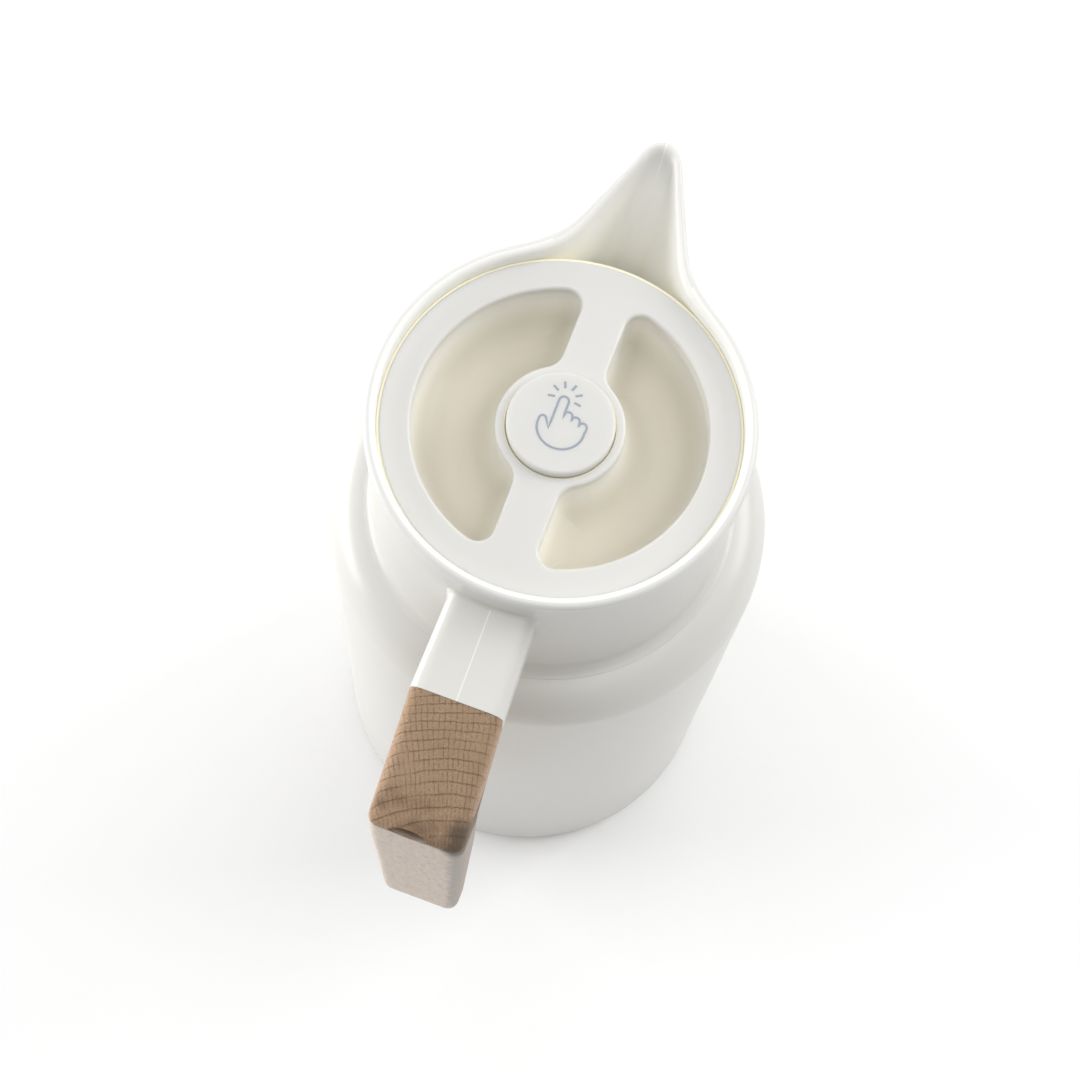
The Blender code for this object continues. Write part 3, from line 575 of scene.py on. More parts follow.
class Form:
    """A mesh being shaped in millimetres, which becomes one finished piece."""

    def __init__(self) -> None:
        """Starts an empty mesh."""
        self.work: BMesh = bmesh.new()

    def path(self, points: Sequence[Pair], closed: bool = False) -> list[BMEdge]:
        """Lays edges through (r, z) points in the plane y = 0.

        Args:
            points: The points in order.
            closed: Joins the last to the first.

        Returns:
            The edges.
        """
        return self.loop([(r, 0.0, z) for r, z in points], closed)[1]

    def loop(self, points: Sequence[Point], closed: bool = True) -> tuple[list[BMVert], list[BMEdge]]:
        """Lays edges through points.

        Args:
            points: The points in order.
            closed: Joins the last to the first.

        Returns:
            The vertices in order, and the edges.
        """
        vertices = [self.work.verts.new(point) for point in points]
        pairs = list(zip(vertices, vertices[1:] + vertices[:1]))
        if not closed:
            pairs.pop()
        return vertices, [self.work.edges.new(pair) for pair in pairs]

    def spin(self, edges: Sequence[BMEdge], steps: int, turns: int = 1, climb: float = 0.0) -> None:
        """Turns edges round the z axis, and joins the ends where they don't climb.

        Args:
            edges: The profile.
            steps: Columns in all.
            turns: Turns round the axis.
            climb: How far each column stands above the last.
        """
        vertices = {vertex for edge in edges for vertex in edge.verts}
        bmesh.ops.spin(self.work, geom=[*vertices, *edges], cent=(0, 0, 0), axis=(0, 0, 1),
                       dvec=(0, 0, climb), angle=math.tau * turns, steps=steps,
                       use_merge=climb == 0.0, use_normal_flip=False, use_duplicate=False)

    def turned(self, points: Sequence[Pair], steps: int, closed: bool = True) -> "Form":
        """Spins a profile of (r, z) points and closes its poles.

        Args:
            points: The profile.
            steps: Columns round the axis.
            closed: Joins the profile's ends.

        Returns:
            The form itself.
        """
        self.spin(self.path(points, closed), steps)
        return self.tidy()

    def tidy(self) -> "Form":
        """Merges doubles and points the faces outwards."""
        bmesh.ops.remove_doubles(self.work, verts=self.work.verts, dist=MERGE)
        bmesh.ops.recalc_face_normals(self.work, faces=self.work.faces)
        return self

    def loft(self, outlines: Sequence[Sequence[Point]]) -> tuple[list[BMEdge], list[BMEdge]]:
        """Extrudes a closed outline through others with as many points.

        Args:
            outlines: The outlines in order.

        Returns:
            The first outline's edges and the last one's.
        """
        vertices, edges = self.loop(outlines[0])
        first = edges
        for outline in outlines[1:]:
            order = {vertex.co.copy().freeze(): i for i, vertex in enumerate(vertices)}
            made = bmesh.ops.extrude_edge_only(self.work, edges=edges)["geom"]
            placed: list[BMVert] = [vertices[0]] * len(vertices)
            for item in made:
                if isinstance(item, BMVert):
                    placed[order[item.co.copy().freeze()]] = item
            for vertex, point in zip(placed, outline):
                vertex.co = point
            vertices = placed
            edges = [self.work.edges.get(pair) for pair in zip(placed, placed[1:] + placed[:1])]
        return first, edges

    def cap(self, edges: Sequence[BMEdge]) -> None:
        """Closes a flat loop with one face."""
        bmesh.ops.edgeloop_fill(self.work, edges=list(edges))

    def fill(self, edges: Sequence[BMEdge]) -> None:
        """Fills a flat region with holes, between loops of edges."""
        bmesh.ops.triangle_fill(self.work, use_beauty=True, use_dissolve=False, edges=list(edges))

    def move(self, change: Callable[[Vector], Vector]) -> None:
        """Moves every vertex by a function of its place."""
        for vertex in self.work.verts:
            vertex.co = change(vertex.co)

    def boundary(self, test: Callable[[BMEdge], bool]) -> list[BMEdge]:
        """The open edges that pass a test."""
        return [edge for edge in self.work.edges if len(edge.link_faces) == 1 and test(edge)]

    def dress(self, index: int, test: Callable[[BMFace], bool]) -> None:
        """Gives a material index to the faces that pass a test."""
        for face in self.work.faces:
            if test(face):
                face.material_index = index

    def object(self, name: str, materials: Sequence[bpy.types.Material],
               sharp: float = SHARP_ANGLE) -> bpy.types.Object:
        """Links the form as an object at the origin.

        Args:
            name: The object's name.
            materials: Its materials, by index.
            sharp: Edges turning more than this many degrees stay sharp.

        Returns:
            The new object.
        """
        bmesh.ops.scale(self.work, vec=(MM, MM, MM), verts=self.work.verts)
        mesh = bpy.data.meshes.new(name)
        self.work.to_mesh(mesh)
        self.work.free()
        for material in materials:
            mesh.materials.append(material)
        mesh.shade_smooth()
        mesh.set_sharp_from_angle(angle=math.radians(sharp))
        made = bpy.data.objects.new(name, mesh)
        bpy.context.scene.collection.objects.link(made)
        return made


def settle(piece: bpy.types.Object, body: Body, finish: Finish, *nodes: str) -> None:
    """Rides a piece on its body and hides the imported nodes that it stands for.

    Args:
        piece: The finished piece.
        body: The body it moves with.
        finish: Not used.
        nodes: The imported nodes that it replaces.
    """
    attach(piece, body.value)
    if nodes:
        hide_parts(*nodes)
    LOG.info("%s: %d faces on %s", piece.name, len(piece.data.polygons), body.value)


def carve(piece: bpy.types.Object, cutter: bpy.types.Object) -> None:
    """Cuts one mesh from another and keeps the result as plain mesh.

    Args:
        piece: The piece to cut.
        cutter: The shape that is taken away, which is removed afterwards.
    """
    modifier = piece.modifiers.new("Carve", "BOOLEAN")
    modifier.operation = "DIFFERENCE"
    modifier.solver = "EXACT"
    modifier.object = cutter
    bpy.context.view_layer.update()
    shaped = piece.evaluated_get(bpy.context.evaluated_depsgraph_get())
    result = bpy.data.meshes.new_from_object(shaped)
    piece.modifiers.clear()
    spare = piece.data
    piece.data = result
    bpy.data.meshes.remove(spare)
    piece.data.name = piece.name
    piece.data.shade_smooth()
    piece.data.set_sharp_from_angle(angle=math.radians(SHARP_ANGLE))
    bpy.data.objects.remove(cutter, do_unlink=True)


# ---------------------------------------------------------------- collar, spout and arm


# Sections of the tongue in the grip: place along the slope, top and low side under it, half width.
TONGUE = ((1.0, 4.6, 10.0, 6.0), (5.0, 3.6, 8.2, 6.0), (39.0, 3.4, 7.8, 6.0), (39.5, 3.9, 7.3, 5.5))


@dataclass
class Collar:
    """The neck moulding: ring, beak-shaped spout and the arm that carries the grip."""

    finishes: Finishes
    rim_z: float = 240.0
    rim_radius: float = 52.0
    bore: float = 48.5
    seam_z: float = 184.3
    seam_radius: float = 50.4
    floor_z: float = 206.0
    reach: float = 83.5
    rise: float = 7.0
    root_x: float = 49.0
    root_z: float = 188.0
    keel_power: float = 0.55
    bed_x: float = 49.5
    bed_power: float = 0.82
    half_angle: float = 25.6
    nose_radius: float = 6.6
    wall: float = 2.2
    fillet: float = 8.0
    columns: int = 240
    crowding: float = 0.72
    sleeve_bore: float = 35.2
    sleeve_radius: float = 38.5
    sleeve_z: float = 184.5
    floor_under_z: float = 203.0
    spigot_bore: float = 45.6
    spigot_radius: float = 47.6
    spigot_z: float = 176.0
    arm_root_x: float = -49.4
    arm_end_x: float = -77.0
    root_fillet: float = 1.0
    elbow: Pair = (-108.5, 195.0)
    arm_top_z: float = 225.0
    arm_height: float = 15.4
    elbow_half_width: float = 13.9
    flare: float = 0.033
    arm_edge: float = 3.4

    def beak(self, theta: float, nose_x: float, nose_radius: float) -> float:
        """Distance from the axis to the beak's wall at an angle from +X.

        Args:
            theta: The angle.
            nose_x: The nose's reach at this height.
            nose_radius: The nose's radius in plan.

        Returns:
            The distance, or 0 behind the axis.
        """
        half = math.radians(self.half_angle)
        centre_x = nose_x - nose_radius
        touch = math.atan2(nose_radius * math.cos(half), centre_x + nose_radius * math.sin(half))
        if theta < touch:
            side = centre_x * math.sin(theta)
            return centre_x * math.cos(theta) + math.sqrt(nose_radius ** 2 - side ** 2)
        if theta > math.pi / 2.0:
            return 0.0
        return (nose_radius + centre_x * math.sin(half)) / math.sin(half + theta)

    def keel(self, z: float) -> float:
        """How far the spout's keel stands from the axis at a height."""
        share = clamp((z - self.root_z) / (self.rim_z + self.rise - self.root_z))
        return self.root_x + (self.reach - self.root_x) * share ** self.keel_power

    def bed(self, z: float) -> float:
        """How far the channel's bed lies from the axis at a height."""
        share = clamp((z - self.floor_z) / (self.rim_z + self.rise - self.floor_z))
        return self.bed_x + (self.reach - self.wall - 0.2 - self.bed_x) * share ** self.bed_power

    def soft_max(self, first: float, second: float) -> float:
        """The larger of two distances, with a fillet where they cross."""
        near = max(self.fillet - abs(first - second), 0.0)
        return max(first, second) + near ** 2 / (4.0 * self.fillet)

    def outside(self, theta: float, z: float) -> float:
        """The outer wall's radius at an angle and a height."""
        nose = self.beak(theta, self.keel(z), self.nose_radius)
        return self.soft_max(self.outer_radius(z), nose)

    def inside(self, theta: float, z: float) -> float:
        """The inner wall's radius at an angle and a height."""
        nose = self.beak(theta, self.bed(z), self.nose_radius - self.wall)
        return self.soft_max(self.bore, nose)

    def lift(self, theta: float) -> float:
        """How far the lip stands above the rim at an angle."""
        beyond = self.outside(theta, self.rim_z + self.rise) - self.rim_radius
        return self.rise * clamp(beyond / (self.reach - self.rim_radius)) ** 1.5

    def pull(self, place: Vector) -> Vector:
        """Draws a vertex of the plain ring out to the spout.

        Args:
            place: The vertex's place on the plain ring.

        Returns:
            Its place on the finished collar.
        """
        radius = math.hypot(place.x, place.y)
        angle = math.atan2(place.y, place.x)
        angle -= self.crowding * math.sin(angle)
        theta = abs(angle)
        z = place.z
        if radius > self.bore - 0.01 and z > self.seam_z - 0.01:
            foot = self.seam_z if radius > self.bore + 0.01 and z < self.rim_z - 3.0 else self.floor_z
            z += self.lift(theta) * clamp((z - foot) / (self.rim_z - foot))
            share = clamp((radius - self.bore) / (self.outer_radius(place.z) - self.bore))
            radius = blend(self.inside(theta, z), self.outside(theta, z), share)
        return Vector((radius * math.cos(angle), radius * math.sin(angle), z))

    def outer_radius(self, z: float) -> float:
        """The plain ring's outer radius at a height."""
        share = clamp((z - self.seam_z) / (self.rim_z - self.seam_z))
        return self.seam_radius + (self.rim_radius - self.seam_radius) * share ** 1.5

    def ring(self) -> bpy.types.Object:
        """Makes the ring with its spout, chamber floor, sleeve and spigot.

        Returns:
            The finished piece.
        """
        half_lip = (self.rim_radius - self.bore) / 2.0
        edge_z = self.rim_z - half_lip
        heights = [blend(self.seam_z, edge_z, i / 36) for i in range(37)]
        profile = [(self.outer_radius(z), z) for z in heights]
        profile += arc((self.bore + half_lip, edge_z), half_lip, 12.0, 168.0, 10)
        profile += [(self.bore, blend(edge_z, self.floor_z + 2.5, i / 24)) for i in range(25)]
        profile += arc((self.bore - 2.5, self.floor_z + 2.5), 2.5, -15.0, -90.0, 5)
        profile += [(self.sleeve_bore + 1.2, self.floor_z), (self.sleeve_bore, self.floor_z - 1.2),
                    (self.sleeve_bore, self.sleeve_z), (self.sleeve_radius, self.sleeve_z),
                    (self.sleeve_radius, self.floor_under_z), (self.spigot_bore, self.floor_under_z),
                    (self.spigot_bore, self.spigot_z), (self.spigot_radius, self.spigot_z),
                    (self.spigot_radius, self.seam_z)]
        form = Form().turned(profile, self.columns)
        form.move(self.pull)
        form.tidy()
        form.dress(1, self.is_channel)
        materials = [self.finishes.get(SHELL_WHITE), self.finishes.get(CHANNEL_WHITE)]
        return form.object("collar_ring", materials)

    def is_channel(self, face: BMFace) -> bool:
        """Whether a face lies on the inner wall or the spout's channel, inside the lip's crest."""
        place = face.calc_center_median()
        outwards = Vector((place.x, place.y, 0.0)).normalized()
        return self.floor_z - 0.5 < place.z and face.normal.dot(outwards) < -0.12

    def arm_half_width(self, x: float) -> float:
        """Half the arm's width at a place along it."""
        return self.elbow_half_width - self.flare * (x - self.elbow[0])

    def arm(self) -> bpy.types.Object:
        """Makes the arm and the tongue that holds the grip.

        Returns:
            The finished piece.
        """
        sections = [self.arm_section(-1.4 + i * 0.35) for i in range(14)]
        reach = -self.arm_end_x - self.rim_radius
        sections += [self.arm_section(blend(3.5, reach, i / 10)) for i in range(11)]
        form = Form()
        first, last = form.loft(sections)
        form.cap(first)
        form.cap(last)
        form.tidy()
        start = Vector((self.arm_end_x, 0.0, self.arm_top_z))
        slope = (Vector((self.elbow[0], 0.0, self.elbow[1])) - start).normalized()
        inward = Vector((-slope.z, 0.0, slope.x))
        rings = []
        for along, top, low, across in TONGUE:
            corners = ((across, top), (-across, top), (-across, low), (across, low))
            rings.append([tuple(start + slope * along + inward * down + Vector((0.0, side, 0.0)))
                          for side, down in corners])
        for edges in form.loft(rings):
            form.cap(edges)
        form.tidy()
        return form.object("handle_arm", [self.finishes.get(SHELL_WHITE)])

    def arm_section(self, out: float) -> list[Point]:
        """One rounded section of the arm, which follows the ring's wall near its root.

        Args:
            out: How far it stands from the wall along the arm's middle.

        Returns:
            The section's points.
        """
        within = clamp(self.root_fillet - out, 0.0, self.root_fillet)
        grow = self.root_fillet - math.sqrt(self.root_fillet ** 2 - within ** 2)
        straight = -self.rim_radius - out
        share = (straight - self.arm_end_x) / (self.arm_root_x - self.arm_end_x)
        arm_low_z = self.arm_top_z - self.arm_height
        top = blend(self.arm_top_z, self.arm_top_z + 4.0, share) + grow * 0.6
        low = blend(arm_low_z, arm_low_z + 1.5, share) - grow
        half = self.arm_half_width(straight) + grow
        flat = clamp(out / (-self.arm_end_x - self.rim_radius)) ** 0.5
        points = []
        for y, z in rounded(half, low, top, self.arm_edge, 6):
            curved = -math.sqrt(self.outer_radius(z) ** 2 - y ** 2) - out
            points.append((blend(curved, straight, flat), y, z))
        return points

    def build(self) -> None:
        """Makes both pieces and settles them on the jug."""
        settle(self.ring(), Body.JUG, SHELL_WHITE, "collar")
        settle(self.arm(), Body.JUG, SHELL_WHITE, "collar")


def rounded(half_width: float, low: float, high: float, radius: float, steps: int) -> list[Pair]:
    """A rounded rectangle's outline, centred on the first axis.

    Args:
        half_width: Half its width.
        low: Its lower side.
        high: Its upper side.
        radius: Its corners' radius.
        steps: Steps in each corner.

    Returns:
        The outline, the same number of points for the same steps.
    """
    a, b, c = half_width - radius, high - radius, low + radius
    flat = [a * (1.0 - i / 6.0) for i in range(1, 12)]
    outline = arc((a, b), radius, 0.0, 90.0, steps)
    outline += [(across, high) for across in flat]
    outline += arc((-a, b), radius, 90.0, 180.0, steps)
    outline += arc((-a, c), radius, 180.0, 270.0, steps)
    outline += [(-across, low) for across in flat]
    outline += arc((a, c), radius, 270.0, 360.0, steps)
    return outline


# ---------------------------------------------------------------- shell


@dataclass
class Shell:
    """The body's outer moulding, from the neck down to the foot."""

    finishes: Finishes
    seam_z: float = 184.0
    neck_radius: float = 50.2
    body_radius: float = 63.3
    foot_radius: float = 60.8
    shoulder_z: float = 164.7
    shoulder_arc: float = 13.0
    wall: float = 2.3
    bore: float = 57.3
    neck_fillet: float = 4.0
    neck_fillet_z: float = 181.5
    foot_fillet: float = 3.0
    side: tuple[Pair, ...] = ((63.1, 150.0), (62.7, 125.0), (62.3, 96.0), (61.7, 60.0), (61.0, 29.0))
    columns: int = 160

    def build(self) -> None:
        """Makes the shell and settles it on the jug."""
        shoulder = (self.body_radius - self.shoulder_arc, self.shoulder_z)
        profile = [(self.neck_radius - 0.5, self.seam_z), (self.neck_radius - 0.12, self.seam_z - 0.1),
                   (self.neck_radius, self.seam_z - 0.5)]
        profile += arc((self.neck_radius + self.neck_fillet, self.neck_fillet_z), self.neck_fillet,
                       180.0, 252.0, 10)
        profile += arc(shoulder, self.shoulder_arc, 78.0, 0.0, 22)
        profile += [*self.side, (self.foot_radius, 8.0)]
        profile += arc((self.foot_radius - self.foot_fillet, 4.2), self.foot_fillet, 0.0, -90.0, 8)
        profile += [(self.bore, 1.2), (self.bore, 12.0), (58.5, 16.0), (59.6, 80.0)]
        profile += arc(shoulder, self.shoulder_arc - self.wall, 0.0, 75.0, 10)
        profile += [(47.9, 174.8), (47.9, self.seam_z)]
        form = Form().turned(profile, self.columns)
        settle(form.object("jug_shell", [self.finishes.get(SHELL_WHITE)]), Body.JUG, SHELL_WHITE,
               "outer_shell")


# ---------------------------------------------------------------- wooden grip


@dataclass
class Grip:
    """The beech grip: a sloping arm of end grain, a mitred elbow and a tapering drop."""

    finishes: Finishes
    start_x: float = -77.04
    start_top: float = 224.75
    start_low: float = 209.4
    mitre_out: Pair = (-107.7, 195.85)
    mitre_in: Pair = (-91.6, 194.2)
    elbow: Pair = (-108.5, 195.0)
    below_elbow: tuple[Pair, Pair] = ((-108.5, 193.5), (-93.7, 188.0))
    foot_z: float = 95.5
    foot_out: float = -105.8
    foot_in: float = -95.4
    half_width: float = 13.9
    flare: float = 0.033
    taper: float = 0.0235
    taper_z: float = 180.0
    edge: float = 3.4
    pocket_length: float = 5.4
    pocket_width: float = 1.8
    pocket_aim: Point = (-0.72, 0.0, 0.69)

    def half(self, x: float, z: float) -> float:
        """Half the grip's width at a place in side view."""
        along = self.flare * (x - self.elbow[0])
        down = self.taper * (self.taper_z - z)
        return self.half_width - max(along, down)

    def stations(self) -> list[tuple[Pair, Pair]]:
        """The outer and the inner point of each section, in x and z, from the arm to the foot."""
        top, low = (self.start_x, self.start_top), (self.start_x, self.start_low)
        found = [(between(top, self.mitre_out, i / 8), between(low, self.mitre_in, i / 8))
                 for i in range(9)]
        turn = arc((-107.0, 194.35), 1.5, 112.0, 182.0, 6)
        inner = arc((-97.4, 187.6), 3.9, 42.0, 2.0, 6)
        for outer, inner_point in zip(turn, inner):
            found.append((outer, (inner_point[0] + 0.4, inner_point[1] + 2.0)))
        outer, inner_point = self.below_elbow
        foot_out, foot_in = (self.foot_out, self.foot_z), (self.foot_in, self.foot_z)
        found += [(between(outer, foot_out, i / 16), between(inner_point, foot_in, i / 16))
                  for i in range(1, 17)]
        return found

    def section(self, outer: Pair, inner: Pair, shrink: float = 0.0) -> list[Point]:
        """One rounded section between an outer and an inner point.

        Args:
            outer: The point on the outer face.
            inner: The point on the inner face.
            shrink: Pulls the outline in, for a small edge at an end.

        Returns:
            The section's points.
        """
        start, end = Vector(outer), Vector(inner)
        length = (end - start).length
        across = (end - start) / length
        half = self.half(*((start + end) / 2.0)) - shrink
        radius = min(self.edge, length / 2.0 - shrink - 0.5)
        points = []
        for y, down in rounded(half, shrink, length - shrink, radius, 7):
            place = start + across * (length - down)
            points.append((place.x, y, place.y))
        return points

    def body(self) -> bpy.types.Object:
        """Makes the grip with its elbow pocket.

        Returns:
            The finished piece.
        """
        stations = self.stations()
        sections = [self.section(*stations[0], 0.25)]
        sections += [self.section(outer, inner) for outer, inner in stations[:-1]]
        outer, inner = stations[-1]
        for lift, shrink in ((0.8, 0.0), (0.25, 0.25), (0.0, 0.8)):
            raised = [(x, z + lift) for x, z in (outer, inner)]
            sections.append(self.section(*raised, shrink))
        form = Form()
        for edges in form.loft(sections):
            form.cap(edges)
        form.tidy()
        grip = form.object("beech_grip", [self.finishes.get(BEECH)])
        carve(grip, self.pocket())
        return grip

    def pocket(self) -> bpy.types.Object:
        """The lens that is cut into the elbow's edge.

        Returns:
            The cutter.
        """
        steps = 16
        rim = [(math.cos(math.pi * i / steps), math.sin(math.pi * i / steps)) for i in range(steps + 1)]
        lens = [(self.pocket_length * a, self.pocket_width * b)
                for a, b in rim + [(a, -b) for a, b in reversed(rim[1:-1])]]
        form = Form()
        for edges in form.loft([[(a, b, depth) for a, b in lens] for depth in (-9.0, 7.0)]):
            form.cap(edges)
        aim = Vector(self.pocket_aim).to_track_quat("Z", "Y").to_matrix().to_4x4()
        place = Matrix.Translation((self.elbow[0] + 0.5, 1.5, self.elbow[1] - 0.4))
        form.move(lambda point: place @ aim @ point)
        form.tidy()
        return form.object("pocket_cutter", [self.finishes.get(BEECH)])

    def build(self) -> None:
        """Makes the grip and settles it on the jug."""
        settle(self.body(), Body.JUG, BEECH, "wood_grip")


# ---------------------------------------------------------------- lid


@dataclass
class Lid:
    """The lid's cover: an outer ring, a bar across it, a round boss and two finger recesses."""

    finishes: Finishes
    top_z: float = 235.5
    radius: float = 47.9
    flange_z: float = 228.5
    pan_z: float = 220.5
    under_z: float = 218.3
    recess_radius: float = 39.5
    bar_half_width: float = 6.3
    boss_radius: float = 17.3
    corner: float = 4.5
    boss_fillet: float = 6.0
    recess_fillet: float = 8.5
    under_fillet: float = 7.2
    recess_edge: float = 0.9
    rim_edge: float = 0.7
    bore: float = 14.62
    bore_floor_z: float = 222.3
    stem_bore: float = 2.9
    tube_radius: float = 6.4
    tube_bore: float = 5.0
    tube_z: float = 210.0
    seat_z: float = 213.0
    plate: float = 2.4
    flange: float = 2.2
    columns: int = 192

    def recess(self, inset: float, side: float) -> list[Pair]:
        """A recess's outline in plan.

        Args:
            inset: How far it is pulled in from the walls.
            side: 1 or -1 for the side it lies on.

        Returns:
            The outline.
        """
        outer, boss = self.recess_radius - inset, self.boss_radius + inset
        bar = self.bar_half_width + inset
        corner, fillet = max(self.corner - inset, 0.5), max(self.boss_fillet - inset, 0.5)
        corner_y, fillet_y = bar + corner, bar + fillet
        corner_x = math.sqrt((outer - corner) ** 2 - corner_y ** 2)
        fillet_x = math.sqrt((boss + fillet) ** 2 - fillet_y ** 2)
        ring = math.degrees(math.atan2(corner_y, corner_x))
        turn = math.degrees(math.atan2(fillet_y, fillet_x))
        points = arc((corner_x, corner_y), corner, -90.0, ring, 12)
        points += arc((0.0, 0.0), outer, ring, 180.0 - ring, 56)[1:-1]
        points += arc((-corner_x, corner_y), corner, 180.0 - ring, 270.0, 12)
        points += [(blend(-corner_x, -fillet_x, i / 6), bar) for i in range(1, 6)]
        points += arc((-fillet_x, fillet_y), fillet, -90.0, -turn, 8)
        points += arc((0.0, 0.0), boss, 180.0 - turn, turn, 30)[1:-1]
        points += arc((fillet_x, fillet_y), fillet, 180.0 + turn, 270.0, 8)
        points += [(blend(fillet_x, corner_x, i / 6), bar) for i in range(1, 6)]
        return [(x, y * side) for x, y in points]

    def levels(self) -> list[Pair]:
        """The recess's inset and height, from the top face down to the floor."""
        edge, fillet = self.recess_edge, self.recess_fillet
        edge_z, fillet_z = self.top_z - edge, self.pan_z + fillet
        found = [(-edge - 0.15, self.top_z)]
        found += [(-edge + r, edge_z + z) for r, z in arc((0.0, 0.0), edge, 90.0, 0.0, 6)]
        found += [(0.0, blend(edge_z, fillet_z, i / 4)) for i in range(1, 4)]
        found += [(fillet - r, fillet_z - z) for r, z in arc((0.0, 0.0), fillet, 0.0, 90.0, 9)]
        return found + [(fillet + 0.4, self.pan_z)]

    def cover(self) -> bpy.types.Object:
        """Makes the cover.

        Returns:
            The finished piece.
        """
        edge, lip, top = self.rim_edge, 0.5, self.top_z
        tube, seat, hollow = self.tube_radius, self.seat_z, self.radius - self.flange
        under_x = self.recess_radius + self.flange
        profile = [(self.radius - edge - 0.4, top)]
        profile += arc((self.radius - edge, top - edge), edge, 90.0, 0.0, 7)
        profile += [(self.radius, self.flange_z), (hollow, self.flange_z),
                    (hollow, top - self.plate), (under_x, top - self.plate)]
        profile += arc((under_x - self.under_fillet, self.under_z + self.under_fillet),
                       self.under_fillet, 0.0, -90.0, 10)
        profile += [(tube, self.under_z), (tube, self.tube_z), (self.tube_bore, self.tube_z),
                    (self.tube_bore, seat), (self.stem_bore, seat), (self.stem_bore, self.bore_floor_z),
                    (self.bore, self.bore_floor_z), (self.bore, top - lip)]
        profile += arc((self.bore + lip, top - lip), lip, 180.0, 90.0, 4)[1:]
        profile += [(self.bore + lip + 0.15, top)]
        form = Form()
        form.spin(form.path(profile), self.columns)
        bmesh.ops.remove_doubles(form.work, verts=form.work.verts, dist=MERGE)
        rims = form.boundary(lambda found: True)
        for side in (1.0, -1.0):
            outlines = [[(x, y, z) for x, y in self.recess(inset, side)] for inset, z in self.levels()]
            first, last = form.loft(outlines)
            form.cap(last)
            rims += first
        form.fill(rims)
        form.tidy()
        return form.object("lid_plate", [self.finishes.get(LID_WHITE)], 50.0)

    def seal(self) -> bpy.types.Object:
        """Makes the silicone ring, with the thin lip that wipes the collar's bore.

        Returns:
            The finished piece.
        """
        flange = self.flange_z - 0.05
        profile = [(48.40, 235.15), (48.46, 235.0), (48.46, 227.0), (47.9, 226.4), (44.8, 226.4),
                   (44.8, flange), (47.93, flange), (47.93, 234.6), (47.80, 235.15)]
        form = Form().turned(profile, self.columns)
        return form.object("lid_wiper_ring", [self.finishes.get(CREAM_SILICONE)])

    def build(self) -> None:
        """Makes both pieces and settles them on the lid."""
        settle(self.cover(), Body.LID, LID_WHITE, "lid_cover")
        settle(self.seal(), Body.LID, CREAM_SILICONE, "lid_seal_ring")


# ---------------------------------------------------------------- button


@dataclass
class Spring:
    """The return spring under the button, built at one length; the real one shortens as the button goes
    down.
    """

    finishes: Finishes
    turns: int = 5
    radius: float = 9.0
    wire: float = 0.55
    wire_steps: int = 10
    turn_steps: int = 40
    low_z: float = 223.2
    high_z: float = 235.0
    foot_z: float = 222.6
    travel: float = 5.0

    def build(self) -> None:
        """Makes the spring and settles it on the lid."""
        form = Form()
        ring = arc((self.radius, self.low_z), self.wire, 0.0, 360.0, self.wire_steps)[:-1]
        steps = self.turns * self.turn_steps
        climb = (self.high_z - self.low_z) / steps
        form.spin(form.path(ring, closed=True), steps, self.turns, climb)
        bmesh.ops.holes_fill(form.work, edges=form.boundary(lambda edge: True), sides=0)
        piece = form.tidy().object("return_spring", [self.finishes.get(STEEL)])
        settle(piece, Body.LID, STEEL, "button_spring")
        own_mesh(piece)


